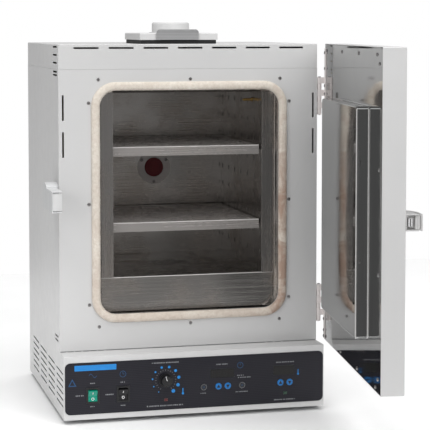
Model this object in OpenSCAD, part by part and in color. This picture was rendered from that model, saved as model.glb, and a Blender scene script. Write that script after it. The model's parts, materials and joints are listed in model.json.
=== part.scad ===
// Bench-top forced-air drying oven with its door standing open.
// Origin: on the bench, midway between the four feet. +X is the user's right when facing the
// door, +Y runs to the rear, +Z is up. Millimetres.

/* [Cabinet] */
// Width of the cabinet
cab_w = 610; // [600:1:620]
// Depth of the upper cabinet from its front face to its rear face
cab_d = 500; // [490:1:510]
// Height of the sheet-metal cabinet without its feet
cab_h = 843; // [840:1:850]
// Height of the base compartment
base_h = 146; // [142:1:150]
// Height of the top cap
cap_h = 57; // [50:1:60]
// How far the base stands forward of the upper cabinet
nose_d = 57; // [56:1:58]
// Height of the rubber feet
foot_h = 10; // [8:1:12]
// Thickness of the painted sheet
sheet = 1.5; // [1.2:0.1:1.6]

/* [Chamber] */
// Width of the chamber opening
open_w = 422; // [418:1:426]
// Height of the chamber opening
open_h = 511; // [508:1:514]
// Corner radius of the chamber opening
open_r = 37; // [30:1:40]
// Height of the opening's lower edge above the bench
open_z = 237; // [235:1:239]
// Half of the width of the chamber box behind its mouth
box_x = 205; // [203:1:207]
// Depth of the chamber
chamber_d = 400; // [396:1:404]
// Half of the clear width between the duct walls
duct_x = 178; // [176:1:180]
// Top of the floor cover above the bench
floor_z = 318; // [314:1:322]
// Width of the gasket
gasket_w = 19.5; // [18:0.5:20]

/* [Shelves] */
// Top surface of the lower shelf above the bench
lower_shelf_z = 442; // [430:1:445]
// Top surface of the upper shelf above the bench
upper_shelf_z = 617; // [605:1:620]
// Depth of a shelf
shelf_d = 350; // [340:5:350]
// Height of a shelf's front lip
shelf_lip = 22; // [18:1:24]

/* [Door] */
// Thickness of the door
door_t = 49; // [47:1:49]
// Gap between the closed door and the cabinet face
door_gap = 9; // [9:0.5:10]
// Angle at which the door stands open at rest
door_open = 82.5; // [0:0.5:170]
// Width of the raised plug on the door's inner face
plug_w = 382; // [370:2:384]
// Height of the raised plug
plug_h = 481; // [470:1:486]
// How far the plug stands proud of the door's inner face
plug_d = 27; // [20:1:27]

/* [Control panel] */
// Width of the graphic overlay
overlay_w = 606; // [600:1:606]
// Height of the graphic overlay
overlay_h = 117.5; // [110:0.5:120]
// Diameter of the limit knob
knob_d = 32; // [28:1:34]
// Diameter of a round key
key_d = 15; // [13:0.5:16]

/* [Hidden] */
$fn = 48;

side_x = cab_w / 2;
front_y = -cab_d / 2;
back_y = cab_d / 2;
base_z = foot_h;
seam_z = base_z + base_h;
ledge_z = seam_z - 2;
top_z = base_z + cab_h;
cap_z = top_z - cap_h;
open_mid_z = open_z + open_h / 2;
open_top_z = open_z + open_h;
air_gap = 17;
slot_t = 4;
liner_t = 1.2;
liner_y0 = front_y + sheet;
liner_y1 = front_y + chamber_d;
mouth_y = front_y + 20;
box_z0 = open_z;
box_z1 = open_top_z - 6;

// Exhaust
exhaust_x = -16;
exhaust_y = front_y + 135;
exhaust_plate_w = 185;
exhaust_plate_d = 180;
exhaust_gasket_t = 9;
exhaust_plate_t = 16;
exhaust_bore_r = 40;
collar_r = 44;
collar_h = 25;
duct_r = 38;
plate_z = top_z + exhaust_gasket_t;
damper_t = 1.5;

// Fan and heater under the floor cover
fan_y = front_y + 220;
fan_r = 75;
shaft_r = 4;
motor_z0 = 62;
heater_z = [257, 283];
heater_r = 105;
heater_rod_r = 4;
terminal_x = heater_r * sin(10);
terminal_y = fan_y + heater_r * cos(10);

// Rear access port
port_z = 537;
port_r = 24.2;
port_plug_r = 23.5;
port_flange_r = 42;
port_screw_r = 36.5;

// Hinge
pin_x = side_x + 6.5;
pin_y = front_y + 3.3;
pin_r = 2.5;
knuckle_r = 5;
knuckle_n = 6;
knuckle_h = 14.6;
knuckle_gap = 0.4;
hinge_z = [199, 687];
leaf_spans = [[160, 216], [726, 842]];
leaf_screw_z = [[166, 180, 206], [736, 755, 795, 832]];

// Latch and strike, in the place they take when the door is closed
latch_z0 = 488;
latch_h = 34;
latch_l = 75;
latch_d = 34;
latch_pin_x = -side_x + 9;
strike_z = 505.5;
strike_h = 48;

// Door when closed
door_in_y = front_y - door_gap;
door_out_y = door_in_y - door_t;
door_z0 = seam_z + 1;
plug_x = 10;
plug_z = 489.5;
plug_r = 8;

// Control panel
panel_y = front_y - nose_d;
overlay_t = 1.2;
overlay_y = panel_y - overlay_t;
overlay_z = 81.2;
power_x = -240;
aux_x = -170.5;
switch_z = 64.5;
knob_x = -72;
knob_z = 90.5;
keys = [[17, 69.5], [52, 69.5], [74, 69.5], [108, 69.5], [200, 70.3], [222, 70.3]];
displays = [[61, 99.5, 56, 20], [208, 99.2, 50, 22]];
lamps = [[-71.5, 45.4], [211.5, 45.4]];
board_y = panel_y + 8;
rocker_depth = 7;
rocker_peg_r = 2;

// Mains inlet
inlet_x = 200;
inlet_z = 70;

// Latch
latch_y0 = door_out_y;
latch_turn_x = latch_pin_x;
latch_turn_y = latch_y0 - 25;
latch_pin_r = 2.5;
latch_bend_r = 60;

// Strike
strike_x = -side_x - 4;
strike_out_x = strike_x - 24;
strike_front_y = front_y - 80;

// ---------- helpers ----------

// A box between two values on each axis
module span(x, y, z) {
    translate([x[0], y[0], z[0]]) cube([x[1] - x[0], y[1] - y[0], z[1] - z[0]]);
}

module round_rect(w, h, r) {
    square([w - 2 * r, h], center = true);
    square([w, h - 2 * r], center = true);
    for (sx = [-1, 1], sz = [-1, 1])
        translate([sx * (w / 2 - r), sz * (h / 2 - r)]) circle(r);
}

// A rounded rectangle standing in the XZ plane, from y rearwards by t
module round_plate(cx, cz, w, h, r, y, t) {
    translate([cx, y + t, cz]) rotate([90, 0, 0]) linear_extrude(t) round_rect(w, h, r);
}

// A round bar along Y, from y rearwards by l
module bar_y(x, z, r, y, l) {
    translate([x, y, z]) rotate([-90, 0, 0]) cylinder(r = r, h = l);
}

// A round bar along Z
module bar_z(x, y, r, z, h) {
    translate([x, y, z]) cylinder(r = r, h = h);
}

// Mirror image across the cabinet's middle plane
module on_right() {
    mirror([1, 0, 0]) children();
}

// A slotted opening through a side panel: y span, height of its middle
module side_slot(y, z) {
    span([-side_x - 1, -side_x + sheet + 1], y, [z - slot_t / 2, z + slot_t / 2]);
}

// Pan-head screw standing on the XY plane: head up, shank down by l
module pan_screw(l) {
    difference() {
        union() {
            cylinder(r = 4, h = 0.8);
            translate([0, 0, 0.8]) cylinder(r1 = 4, r2 = 2.4, h = 1.4);
            translate([0, 0, -l]) cylinder(r = 1.9, h = l + 1);
        }
        for (a = [0, 90])
            rotate([0, 0, a]) translate([0, 0, 2.2]) cube([3.4, 0.7, 1.6], center = true);
    }
}

// Moves a piece drawn on the closed door to where the open door stands
module on_door() {
    translate([pin_x, pin_y, 0]) rotate([0, 0, door_open]) translate([-pin_x, -pin_y, 0])
        children();
}

// ---------- painted cabinet ----------

module left_side_panel() {
    color("gainsboro") difference() {
        union() {
            span([-side_x, -side_x + sheet], [front_y + sheet, back_y], [base_z, cap_z]);
            span([-side_x, -side_x + sheet], [panel_y + sheet, front_y + sheet],
                 [base_z, ledge_z]);
        }
        for (column = [0:3], row = [0:5])
            side_slot([front_y - 43 + 126.5 * column, front_y + 53 + 126.5 * column],
                      38.3 + 14.8 * row);
        for (z = [175, 184.5])
            side_slot([front_y + 22, front_y + 70], z);
        for (z = [783, 790.5])
            side_slot([front_y + 20, front_y + 80], z);
    }
}

module right_side_panel() {
    on_right() left_side_panel();
}

module top_cap() {
    color("gainsboro") difference() {
        span([-side_x, side_x], [front_y, back_y], [cap_z, top_z]);
        span([-side_x + sheet, side_x - sheet], [front_y + sheet, back_y - sheet],
             [cap_z - 1, top_z - sheet]);
        for (i = [-3:3])
            span([80.4 * i - 28.5, 80.4 * i + 28.5], [front_y - 1, front_y + sheet + 1],
                 [842.4, 846.4]);
        for (z = [810.7, 828.7, 846.8]) {
            side_slot([front_y + 20, front_y + 80], z);
            on_right() side_slot([front_y + 20, front_y + 80], z);
        }
        bar_z(exhaust_x, exhaust_y, exhaust_bore_r, top_z - 5, 10);
    }
}

function fascia_screws() = [
    for (x = [-214, 0, 214], z = [209, 773]) [x, z],
    for (x = [-236.5, 236.5], z = [260, 490, 720]) [x, z]
];

module front_fascia() {
    color("gainsboro") difference() {
        span([-side_x, side_x], [front_y, front_y + sheet], [seam_z, cap_z]);
        round_plate(0, open_mid_z, open_w, open_h, open_r, front_y - 1, sheet + 2);
        for (x = [-294.8, 294.8], z = [597.5, 681])
            span([x - slot_t / 2, x + slot_t / 2], [front_y - 1, front_y + sheet + 1],
                 [z, z + 57.5]);
        for (p = fascia_screws())
            bar_y(p[0], p[1], 2, front_y - 1, sheet + 2);
    }
}

module base_front() {
    color("gainsboro") difference() {
        union() {
            span([-side_x, side_x], [panel_y, panel_y + sheet], [base_z, ledge_z]);
            span([-side_x + sheet, side_x - sheet], [panel_y + sheet, front_y + sheet],
                 [ledge_z - sheet, ledge_z]);
        }
        panel_cutouts(panel_y - 1, sheet + 2);
    }
}

// Everything that looks through the front panel: switches, knob, keys, displays and lamps
module panel_cutouts(y, t) {
    for (x = [power_x, aux_x])
        span([x - 12.5, x + 12.5], [y, y + t], [switch_z - 15.5, switch_z + 15.5]);
    bar_y(knob_x, knob_z, 5, y, t);
    for (k = keys)
        bar_y(k[0], k[1], key_d / 2 + 0.3, y, t);
    for (d = displays)
        span([d[0] - d[2] / 2, d[0] + d[2] / 2], [y, y + t], [d[1] - d[3] / 2, d[1] + d[3] / 2]);
    for (l = lamps)
        span([l[0] - 4.2, l[0] + 4.2], [y, y + t], [l[1] - 3.2, l[1] + 3.2]);
}

module bottom_pan() {
    color("silver") difference() {
        span([-side_x + sheet, side_x - sheet], [panel_y + sheet, back_y - sheet],
             [base_z, base_z + sheet]);
        for (x = [-120:40:120])
            span([x - 3, x + 3], [60, 140], [base_z - 1, base_z + sheet + 1]);
    }
}

module rear_panel() {
    color("gainsboro") difference() {
        span([-side_x + sheet, side_x - sheet], [back_y - sheet, back_y], [base_z, cap_z]);
        bar_y(0, port_z, port_r + 1.8, back_y - 5, 10);
        span([inlet_x - 14, inlet_x + 14], [back_y - 5, back_y + 5],
             [inlet_z - 10.5, inlet_z + 10.5]);
        for (x = [-230:20:-110])
            span([x - 2, x + 2], [back_y - 5, back_y + 5], [40, 110]);
    }
}

module deck_plate() {
    color("silver") difference() {
        span([-side_x + sheet, side_x - sheet], [front_y + sheet, back_y - sheet],
             [ledge_z + 0.5, seam_z]);
        bar_z(0, fan_y, 10, ledge_z - 1, 5);
    }
}

module rubber_feet() {
    color("#202020") for (x = [-245, 245], y = [-195, 195])
        translate([x, y, 0]) cylinder(r1 = 15, r2 = 18, h = foot_h);
}

// ---------- chamber ----------

// Chamber box behind a rounded mouth, with the flange that the fascia screws hold
module chamber_liner() {
    color("#8b8782") difference() {
        union() {
            round_plate(0, open_mid_z, open_w + 64, open_h + 72, 30, liner_y0, sheet);
            round_plate(0, open_mid_z, open_w + 2 * liner_t, open_h + 2 * liner_t,
                        open_r + liner_t, liner_y0, mouth_y - liner_y0);
            span([-box_x - liner_t, box_x + liner_t], [mouth_y - liner_t, liner_y1 + liner_t],
                 [box_z0 - liner_t, box_z1 + liner_t]);
        }
        round_plate(0, open_mid_z, open_w, open_h, open_r, liner_y0 - 1,
                    mouth_y - liner_t - liner_y0 + 1);
        intersection() {
            round_plate(0, open_mid_z, open_w, open_h, open_r, liner_y0 - 1, 30);
            span([-box_x, box_x], [liner_y0 - 1, mouth_y + 1], [box_z0, box_z1]);
        }
        span([-box_x, box_x], [mouth_y, liner_y1], [box_z0, box_z1]);
        for (p = fascia_screws())
            bar_y(p[0], p[1], 2, liner_y0 - 1, sheet + 2);
        bar_y(0, port_z, port_r + 1.8, liner_y1 - 1, 5);
        for (a = [30, 150, 270])
            bar_y(port_screw_r * cos(a), port_z + port_screw_r * sin(a), 2, liner_y1 - 1, 5);
        bar_z(exhaust_x, exhaust_y, duct_r + 0.3, box_z1 - 1, 5);
        bar_z(0, fan_y, 10, box_z0 - 5, 10);
        for (x = [-terminal_x, terminal_x], z = heater_z)
            bar_y(x, z, 5.5, liner_y1 - 1, 5);
    }
}

// Batts packed around the chamber, cut square around the duct, port, shaft and terminals
module cabinet_insulation() {
    g = 0.5;
    ox = side_x - air_gap;
    ix = box_x + liner_t + g;
    y0 = mouth_y + 1;
    y1 = back_y - 4;
    iy = liner_y1 + liner_t + g;
    z0 = seam_z + g;
    z1 = 830;
    iz0 = box_z0 - liner_t - g;
    iz1 = box_z1 + liner_t + g;
    duct = duct_r + 2.5;
    shaft = 20;
    column = 32;
    color("#d9cda0") {
        for (s = [0, 1])
            mirror([s, 0, 0]) {
                span([ix + g, ox], [y0, y1], [z0, z1]);
                span([shaft, ix], [fan_y - shaft, fan_y + shaft], [z0, iz0]);
                span([column + g, ix], [iy, y1], [z0, z1]);
            }
        span([-ix, ix], [y0, fan_y - shaft - g], [z0, iz0]);
        span([-ix, ix], [fan_y + shaft + g, iy - g], [z0, iz0]);
        span([-ix, ix], [y0, exhaust_y - duct - g], [iz1, z1]);
        span([-ix, ix], [exhaust_y + duct + g, iy - g], [iz1, z1]);
        span([-ix, exhaust_x - duct], [exhaust_y - duct, exhaust_y + duct], [iz1, z1]);
        span([exhaust_x + duct, ix], [exhaust_y - duct, exhaust_y + duct], [iz1, z1]);
        span([-column, column], [iy, y1], [z0, 245]);
        span([-column, column], [iy, y1], [296, port_z - column]);
        span([-column, column], [iy, y1], [port_z + column, z1]);
    }
}

module left_duct_wall() {
    y0 = mouth_y + 0.6;
    color("#9a9691") difference() {
        union() {
            span([-duct_x, -duct_x + liner_t], [y0, liner_y1 - 0.5], [floor_z + 0.2, box_z1 - 0.5]);
            span([-box_x + 0.5, -duct_x], [y0, y0 + liner_t], [floor_z + 0.2, box_z1 - 0.5]);
        }
        for (column = [0:6], row = [0:8])
            span([-duct_x - 1, -duct_x + liner_t + 1],
                 [front_y + 28.5 + 58.5 * column, front_y + 36.5 + 58.5 * column],
                 [358 + 44 * row, 368 + 44 * row]);
    }
}

module right_duct_wall() {
    on_right() left_duct_wall();
}

module floor_cover() {
    y0 = front_y + 22;
    color("#a5a19c") difference() {
        union() {
            span([-box_x + 0.5, box_x - 0.5], [y0, liner_y1 - 0.5], [floor_z - liner_t, floor_z]);
            span([-box_x + 0.5, box_x - 0.5], [y0, y0 + liner_t], [box_z0 + 1.7, floor_z]);
        }
        for (x = [-202, 181])
            span([x, x + 21], [front_y + 40, liner_y1 - 20], [floor_z - 5, floor_z + 5]);
        for (ring = [1:3], i = [0:6 * ring - 1])
            translate([16 * ring * cos(60 * i / ring), fan_y + 16 * ring * sin(60 * i / ring),
                       floor_z - 5])
                cylinder(r = 5, h = 10, $fn = 24);
    }
}

// Two rings of sheathed element around the fan, with terminals out through the rear wall
module heater_element() {
    color("#6e6a66") for (z = heater_z) {
        translate([0, fan_y, z]) rotate([0, 0, 100]) rotate_extrude(angle = 340)
            translate([heater_r, 0]) circle(heater_rod_r, $fn = 24);
        for (s = [-1, 1]) {
            translate([s * terminal_x, terminal_y, z]) sphere(heater_rod_r + 0.6);
            bar_y(s * terminal_x, z, heater_rod_r - 0.5, terminal_y, liner_y1 + 38 - terminal_y);
        }
    }
}

module fan_motor() {
    color("#3a3d42") difference() {
        union() {
            bar_z(0, fan_y, 42, motor_z0, 74);
            bar_z(0, fan_y, 14, motor_z0 + 74, 8);
            span([-60, 60], [fan_y - 60, fan_y + 60], [ledge_z - 3, ledge_z + 0.3]);
            for (sx = [-1, 1], sy = [-1, 1])
                bar_z(30 * sx, fan_y + 30 * sy, 4, motor_z0 + 60, ledge_z - motor_z0 - 61);
        }
        bar_z(0, fan_y, shaft_r + 0.05, motor_z0 - 1, 120);
    }
}

module fan_shaft() {
    color("silver") bar_z(0, fan_y, shaft_r, motor_z0 - 6, 290 - motor_z0);
}

// Centrifugal wheel: hub, back plate, curved-in vanes and a front ring
module fan_wheel() {
    color("#b9bcc0") translate([0, fan_y, 0]) difference() {
        union() {
            bar_z(0, 0, 12, 246, 30);
            bar_z(0, 0, fan_r, 246, 1.5);
            for (a = [0:15:345])
                rotate([0, 0, a]) translate([fan_r - 18, -0.6, 246])
                    rotate([0, 0, -25]) cube([16, 1.2, 44]);
            translate([0, 0, 288]) difference() {
                cylinder(r = fan_r, h = 2);
                translate([0, 0, -1]) cylinder(r = fan_r - 20, h = 4);
            }
        }
        bar_z(0, 0, shaft_r, 240, 60);
    }
}

module temperature_probe() {
    color("#b08a3e") {
        x = duct_x - liner_t;
        y = front_y + 102;
        z = 720;
        translate([x, y, z]) rotate([0, -90, 0]) cylinder(r = 5, h = 4, $fn = 6);
        translate([x - 4, y, z]) rotate([0, -90, 0]) cylinder(r = 3, h = 18);
        translate([x - 22, y, z]) sphere(3);
    }
}

// Half-round tube seal around the opening, flat against the fascia
module door_gasket() {
    r = gasket_w / 2;
    corner = open_r + r;
    half_w = open_w / 2 + r - corner;
    half_h = open_h / 2 + r - corner;
    color("#e6dcd2") translate([0, front_y, open_mid_z]) rotate([90, 0, 0]) {
        for (s = [-1, 1]) {
            translate([s * (open_w / 2 + r), half_h, 0]) rotate([90, 0, 0])
                linear_extrude(2 * half_h) gasket_profile();
            translate([-half_w, s * (open_h / 2 + r), 0]) rotate([90, 0, 90])
                linear_extrude(2 * half_w) gasket_profile();
        }
        for (q = [0:3])
            translate([(q == 0 || q == 3 ? 1 : -1) * half_w, (q < 2 ? 1 : -1) * half_h, 0])
                rotate([0, 0, 90 * q]) rotate_extrude(angle = 90)
                    translate([corner, 0]) gasket_profile();
    }
}

module gasket_profile() {
    r = gasket_w / 2;
    intersection() {
        translate([0, -0.9]) circle(r);
        translate([-r, 0]) square([2 * r, r]);
    }
}

module cabinet_screws() {
    color("silver") {
        for (p = fascia_screws())
            translate([p[0], front_y, p[1]]) rotate([90, 0, 0]) pan_screw(2.8);
        for (a = [30, 150, 270])
            translate([port_screw_r * cos(a), liner_y1 - liner_t, port_z + port_screw_r * sin(a)])
                rotate([90, 0, 0]) pan_screw(2.6);
        for (dz = [-12, 12])
            translate([strike_x, front_y + 69, strike_z + dz]) rotate([0, -90, 0]) pan_screw(4);
        for (z = hinge_z, i = [0:2])
            translate([side_x + 2, front_y + 30, z + knuckle_h * (1 + 2 * i)]) rotate([0, 90, 0])
                pan_screw(2);
    }
}

// ---------- shelves ----------

module shelf(z) {
    x = 174;
    y0 = front_y + 35;
    t = 1.2;
    side_lip = 12;
    color("#a9a6a1") {
        span([-x, x], [y0, y0 + shelf_d], [z - t, z]);
        span([-x, x], [y0, y0 + t], [z - shelf_lip, z]);
        span([-x, x], [y0 + shelf_d - t, y0 + shelf_d], [z - side_lip, z]);
        for (s = [-1, 1])
            span([s * (x - t / 2) - t / 2, s * (x - t / 2) + t / 2], [y0, y0 + shelf_d],
                 [z - side_lip, z]);
    }
}

module upper_shelf() {
    shelf(upper_shelf_z);
}

module lower_shelf() {
    shelf(lower_shelf_z);
}

// Angle clips hooked into the duct walls under both shelves
module shelf_clips() {
    color("#77736e") for (z = [lower_shelf_z, upper_shelf_z], y = [60, 350], s = [0, 1])
        mirror([s, 0, 0]) {
            top = z - 12.2;
            x = -duct_x + liner_t;
            span([x, x + 14], [front_y + y - 10, front_y + y + 10], [top - 1.5, top]);
            span([x, x + 1.5], [front_y + y - 10, front_y + y + 10], [top - 14, top]);
        }
}

// ---------- rear access port ----------

// Flange on the chamber's rear wall with the sleeve that runs out through the rear panel
module port_sleeve() {
    color("#b5b2ad") difference() {
        union() {
            bar_y(0, port_z, port_flange_r, liner_y1 - liner_t, liner_t);
            bar_y(0, port_z, port_r + 1.5, liner_y1 - liner_t, back_y - liner_y1 + 6);
        }
        bar_y(0, port_z, port_r, liner_y1 - 5, 200);
        for (a = [30, 150, 270])
            bar_y(port_screw_r * cos(a), port_z + port_screw_r * sin(a), 2, liner_y1 - 5, 10);
    }
}

module port_stopper() {
    color("#5a1418") {
        bar_y(0, port_z, port_plug_r, liner_y1 - 3, back_y - liner_y1 + 9);
        bar_y(0, port_z, port_r + 5, back_y + 5.3, 12);
    }
}

// ---------- exhaust ----------

module exhaust_gasket() {
    color("#181818") difference() {
        span([exhaust_x - exhaust_plate_w / 2 + 3, exhaust_x + exhaust_plate_w / 2 - 3],
             [exhaust_y - exhaust_plate_d / 2 + 3, exhaust_y + exhaust_plate_d / 2 - 3],
             [top_z, top_z + exhaust_gasket_t]);
        bar_z(exhaust_x, exhaust_y, exhaust_bore_r, top_z - 1, 20);
    }
}

module exhaust_plate() {
    x0 = exhaust_x - exhaust_plate_w / 2;
    y0 = exhaust_y - exhaust_plate_d / 2;
    color("gainsboro") difference() {
        span([x0, x0 + exhaust_plate_w], [y0, y0 + exhaust_plate_d],
             [plate_z, plate_z + exhaust_plate_t]);
        span([x0 + sheet, x0 + exhaust_plate_w - sheet], [y0 + sheet, y0 + exhaust_plate_d - sheet],
             [plate_z - 1, plate_z + exhaust_plate_t - sheet]);
        span([exhaust_x - 44, exhaust_x + 44], [y0 - 1, y0 + sheet + 1],
             [plate_z - 1, plate_z + damper_t + 1]);
        bar_z(exhaust_x, exhaust_y, exhaust_bore_r, plate_z, 30);
    }
}

// Sliding vent plate with its upright tab in front of the housing
module exhaust_damper() {
    y0 = exhaust_y - exhaust_plate_d / 2;
    z = plate_z + 0.4;
    tab_w = 100;
    tab_h = 24;
    color("#9b9b9b") {
        span([exhaust_x - 42, exhaust_x + 42], [y0 - 4, exhaust_y + 45], [z, z + damper_t]);
        translate([exhaust_x - 4, y0 - 2, z + tab_h / 2]) rotate([90, 0, 0]) linear_extrude(2.5) {
            round_rect(tab_w, tab_h, 8);
            translate([-tab_w / 2, -tab_h / 2]) square([tab_w, tab_h / 2]);
        }
    }
}

module exhaust_collar() {
    z = plate_z + exhaust_plate_t;
    color("#d8d8d8") difference() {
        union() {
            bar_z(exhaust_x, exhaust_y, collar_r, z, collar_h);
            bar_z(exhaust_x, exhaust_y, collar_r + 6, z, 1.5);
        }
        bar_z(exhaust_x, exhaust_y, collar_r - 1.5, z - 1, collar_h + 2);
    }
}

module exhaust_duct() {
    color("#b5b2ad") difference() {
        bar_z(exhaust_x, exhaust_y, duct_r, box_z1 - 0.5, plate_z - box_z1);
        bar_z(exhaust_x, exhaust_y, duct_r - 1.2, box_z1 - 5, 150);
    }
}

// ---------- hinges ----------

// One knuckle of a hinge, numbered from the bottom
module knuckle(i) {
    bar_z(pin_x, pin_y, knuckle_r, i * knuckle_h + knuckle_gap / 2, knuckle_h - knuckle_gap);
}

module knuckle_bore() {
    bar_z(pin_x, pin_y, pin_r + 0.06, -5, knuckle_n * knuckle_h + 10);
}

module cabinet_hinge_leaves() {
    h = knuckle_n * knuckle_h;
    g = knuckle_gap / 2;
    color("#b8b5b0") for (z = hinge_z)
        translate([0, 0, z]) difference() {
            union() {
                span([side_x, side_x + 2], [pin_y + 5.7, pin_y + 40], [0, h]);
                for (i = [0:2:knuckle_n - 1]) {
                    knuckle(i);
                    span([side_x, pin_x - 3], [pin_y + 1, pin_y + 6],
                         [i * knuckle_h + g, (i + 1) * knuckle_h - g]);
                }
            }
            knuckle_bore();
            for (i = [0:2])
                translate([side_x - 1, front_y + 30, knuckle_h * (1 + 2 * i)]) rotate([0, 90, 0])
                    cylinder(r = 2, h = 5);
        }
}

// Door leaf: a strip on the door's inner face, bent back to its knuckles
module door_hinge_leaves() {
    g = knuckle_gap / 2;
    color("#b8b5b0") on_door() for (k = [0, 1]) {
        z0 = hinge_z[k];
        difference() {
            union() {
                span([side_x - 14, side_x - 1], [door_in_y, door_in_y + 2],
                     [min(leaf_spans[k][0], z0), max(leaf_spans[k][1], z0 + knuckle_n * knuckle_h)]);
                translate([0, 0, z0]) for (i = [1:2:knuckle_n - 1]) {
                    knuckle(i);
                    span([pin_x - 5, pin_x - 3], [door_in_y, pin_y],
                         [i * knuckle_h + g, (i + 1) * knuckle_h - g]);
                    span([side_x - 14, pin_x - 3], [door_in_y, door_in_y + 2],
                         [i * knuckle_h + g, (i + 1) * knuckle_h - g]);
                }
            }
            translate([0, 0, z0]) knuckle_bore();
            for (z = leaf_screw_z[k])
                bar_y(side_x - 7.5, z, 2, door_in_y - 1, 4);
        }
    }
}

module hinge_pins() {
    color("silver") for (z = hinge_z) {
        bar_z(pin_x, pin_y, pin_r, z - 1, knuckle_n * knuckle_h + 2);
        bar_z(pin_x, pin_y, 3.6, z + knuckle_n * knuckle_h + 0.2, 1.5);
    }
}

// ---------- strike on the left side ----------

// Bracket along the side of the cabinet with a pocket at its front for the latch bolt
module strike_frame() {
    z0 = strike_z - strike_h / 2;
    z1 = strike_z + strike_h / 2;
    crown_r = 50;
    color("#d0d0d0") difference() {
        union() {
            span([strike_out_x, strike_x], [strike_front_y, front_y + 10], [z0, z1]);
            span([strike_out_x, -side_x], [front_y + 5, front_y + 60], [z0, z1]);
            span([strike_x, -side_x], [front_y + 50, front_y + 78], [z0, z1]);
            intersection() {
                translate([strike_out_x, front_y + 32, z1 + 11 - crown_r]) rotate([0, 90, 0])
                    cylinder(r = crown_r, h = strike_x + 4 - strike_out_x, $fn = 96);
                span([strike_out_x, -side_x], [front_y + 5, front_y + 60], [z1 - 5, z1 + 20]);
            }
        }
        span([strike_out_x + 2.5, strike_x + 1], [strike_front_y - 1, front_y - 20],
             [z0 + 2.5, z1 - 2.5]);
        for (dz = [-12, 12])
            translate([strike_x - 1, front_y + 69, strike_z + dz]) rotate([0, 90, 0])
                cylinder(r = 2, h = 6);
    }
}

// Bent keeper inside the pocket; its front leg holds the bolt
module strike_keeper() {
    z0 = strike_z - 19;
    z1 = strike_z + 19;
    x0 = strike_out_x + 2.5;
    color("#dedede") {
        span([x0 + 1.5, strike_x - 1], [strike_front_y, strike_front_y + 3], [z0, z1]);
        span([x0, x0 + 2.5], [strike_front_y, front_y - 20], [z0, z1]);
    }
}

// ---------- control panel ----------

module control_overlay() {
    color("#26262c") difference() {
        round_plate(0, overlay_z, overlay_w, overlay_h, 12, overlay_y, overlay_t);
        panel_cutouts(overlay_y - 1, overlay_t + 2);
    }
}

// Snap-in body of a rocker switch: bezel in front of the overlay and a box behind it
module switch_body(x) {
    color("#101012") difference() {
        union() {
            span([x - 15, x + 15], [overlay_y - 2, overlay_y], [switch_z - 18, switch_z + 18]);
            span([x - 12.3, x + 12.3], [overlay_y - 0.1, overlay_y + 26],
                 [switch_z - 15.3, switch_z + 15.3]);
            for (dz = [-8, 0, 8])
                span([x - 3, x + 3], [overlay_y + 25, overlay_y + 34],
                     [switch_z + dz - 0.4, switch_z + dz + 0.4]);
        }
        span([x - 10.8, x + 10.8], [overlay_y - 3, overlay_y + 14],
             [switch_z - 14.2, switch_z + 14.2]);
        rocker_pivot(x, rocker_peg_r + 0.06, 13);
    }
}

// The line a rocker turns on, as a bar of radius r reaching l to each side
module rocker_pivot(x, r, l) {
    translate([x - l, overlay_y + rocker_depth, switch_z]) rotate([0, 90, 0])
        cylinder(r = r, h = 2 * l);
}

// Concave rocker, tipped about the two pegs at its sides
module rocker(x) {
    depth = rocker_depth;
    half = 12.2;
    rocker_pivot(x, rocker_peg_r, 12);
    translate([x - 10.4, overlay_y + depth, switch_z]) rotate([9, 0, 0])
        rotate([90, 0, 90]) linear_extrude(20.8)
            polygon([[-depth - 3, half], [-depth + 0.6, 0], [-depth - 3, -half],
                     [-1, -half], [4, 0], [-1, half]]);
}

module power_switch_body() {
    switch_body(power_x);
}

module aux_switch_body() {
    switch_body(aux_x);
}

module power_rocker() {
    color("#109a6c") rocker(power_x);
}

module aux_rocker() {
    color("#141416") rocker(aux_x);
}

module limit_thermostat() {
    color("#4b4e52") difference() {
        union() {
            bar_y(knob_x, knob_z, 19, panel_y + sheet + 8, 22);
            bar_y(knob_x, knob_z, 4.6, panel_y + sheet + 0.2, 10);
            span([knob_x - 8, knob_x + 8], [panel_y + sheet + 30, panel_y + sheet + 38],
                 [knob_z - 12, knob_z + 12]);
        }
        bar_y(knob_x, knob_z, 3.06, panel_y - 1, 30);
    }
}

// Skirted knob with grip flutes, a pointer groove and its shaft
module limit_knob() {
    y = overlay_y - 0.6;
    pointer = 14;
    color("#141416") difference() {
        union() {
            translate([knob_x, y, knob_z]) rotate([90, 0, 0]) cylinder(r = knob_d / 2, h = 4);
            translate([knob_x, y - 4, knob_z]) rotate([90, 0, 0])
                cylinder(r1 = knob_d / 2 - 2, r2 = knob_d / 2 - 4, h = 12);
            bar_y(knob_x, knob_z, 3, y, 22);
        }
        for (a = [0:20:340])
            translate([knob_x, y - 4.5, knob_z]) rotate([0, a, 0]) translate([0, 0, knob_d / 2 - 1.5])
                rotate([90, 0, 0]) cylinder(r = 1.4, h = 13, $fn = 16);
        translate([knob_x, y - 16, knob_z]) rotate([0, -pointer, 0])
            translate([-0.8, -1, 2]) cube([1.6, 2, knob_d / 2]);
    }
}

module key(i) {
    k = keys[i];
    color(i == 0 || i == 3 ? "#55565a" : "#1d8fd6") {
        bar_y(k[0], k[1], key_d / 2, overlay_y - 1, 3.2);
        bar_y(k[0], k[1], 2, overlay_y + 2, 3.4);
    }
}

module timer_mode_key() {
    key(0);
}

module timer_up_key() {
    key(1);
}

module timer_down_key() {
    key(2);
}

module timer_start_key() {
    key(3);
}

module setpoint_up_key() {
    key(4);
}

module setpoint_down_key() {
    key(5);
}

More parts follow.
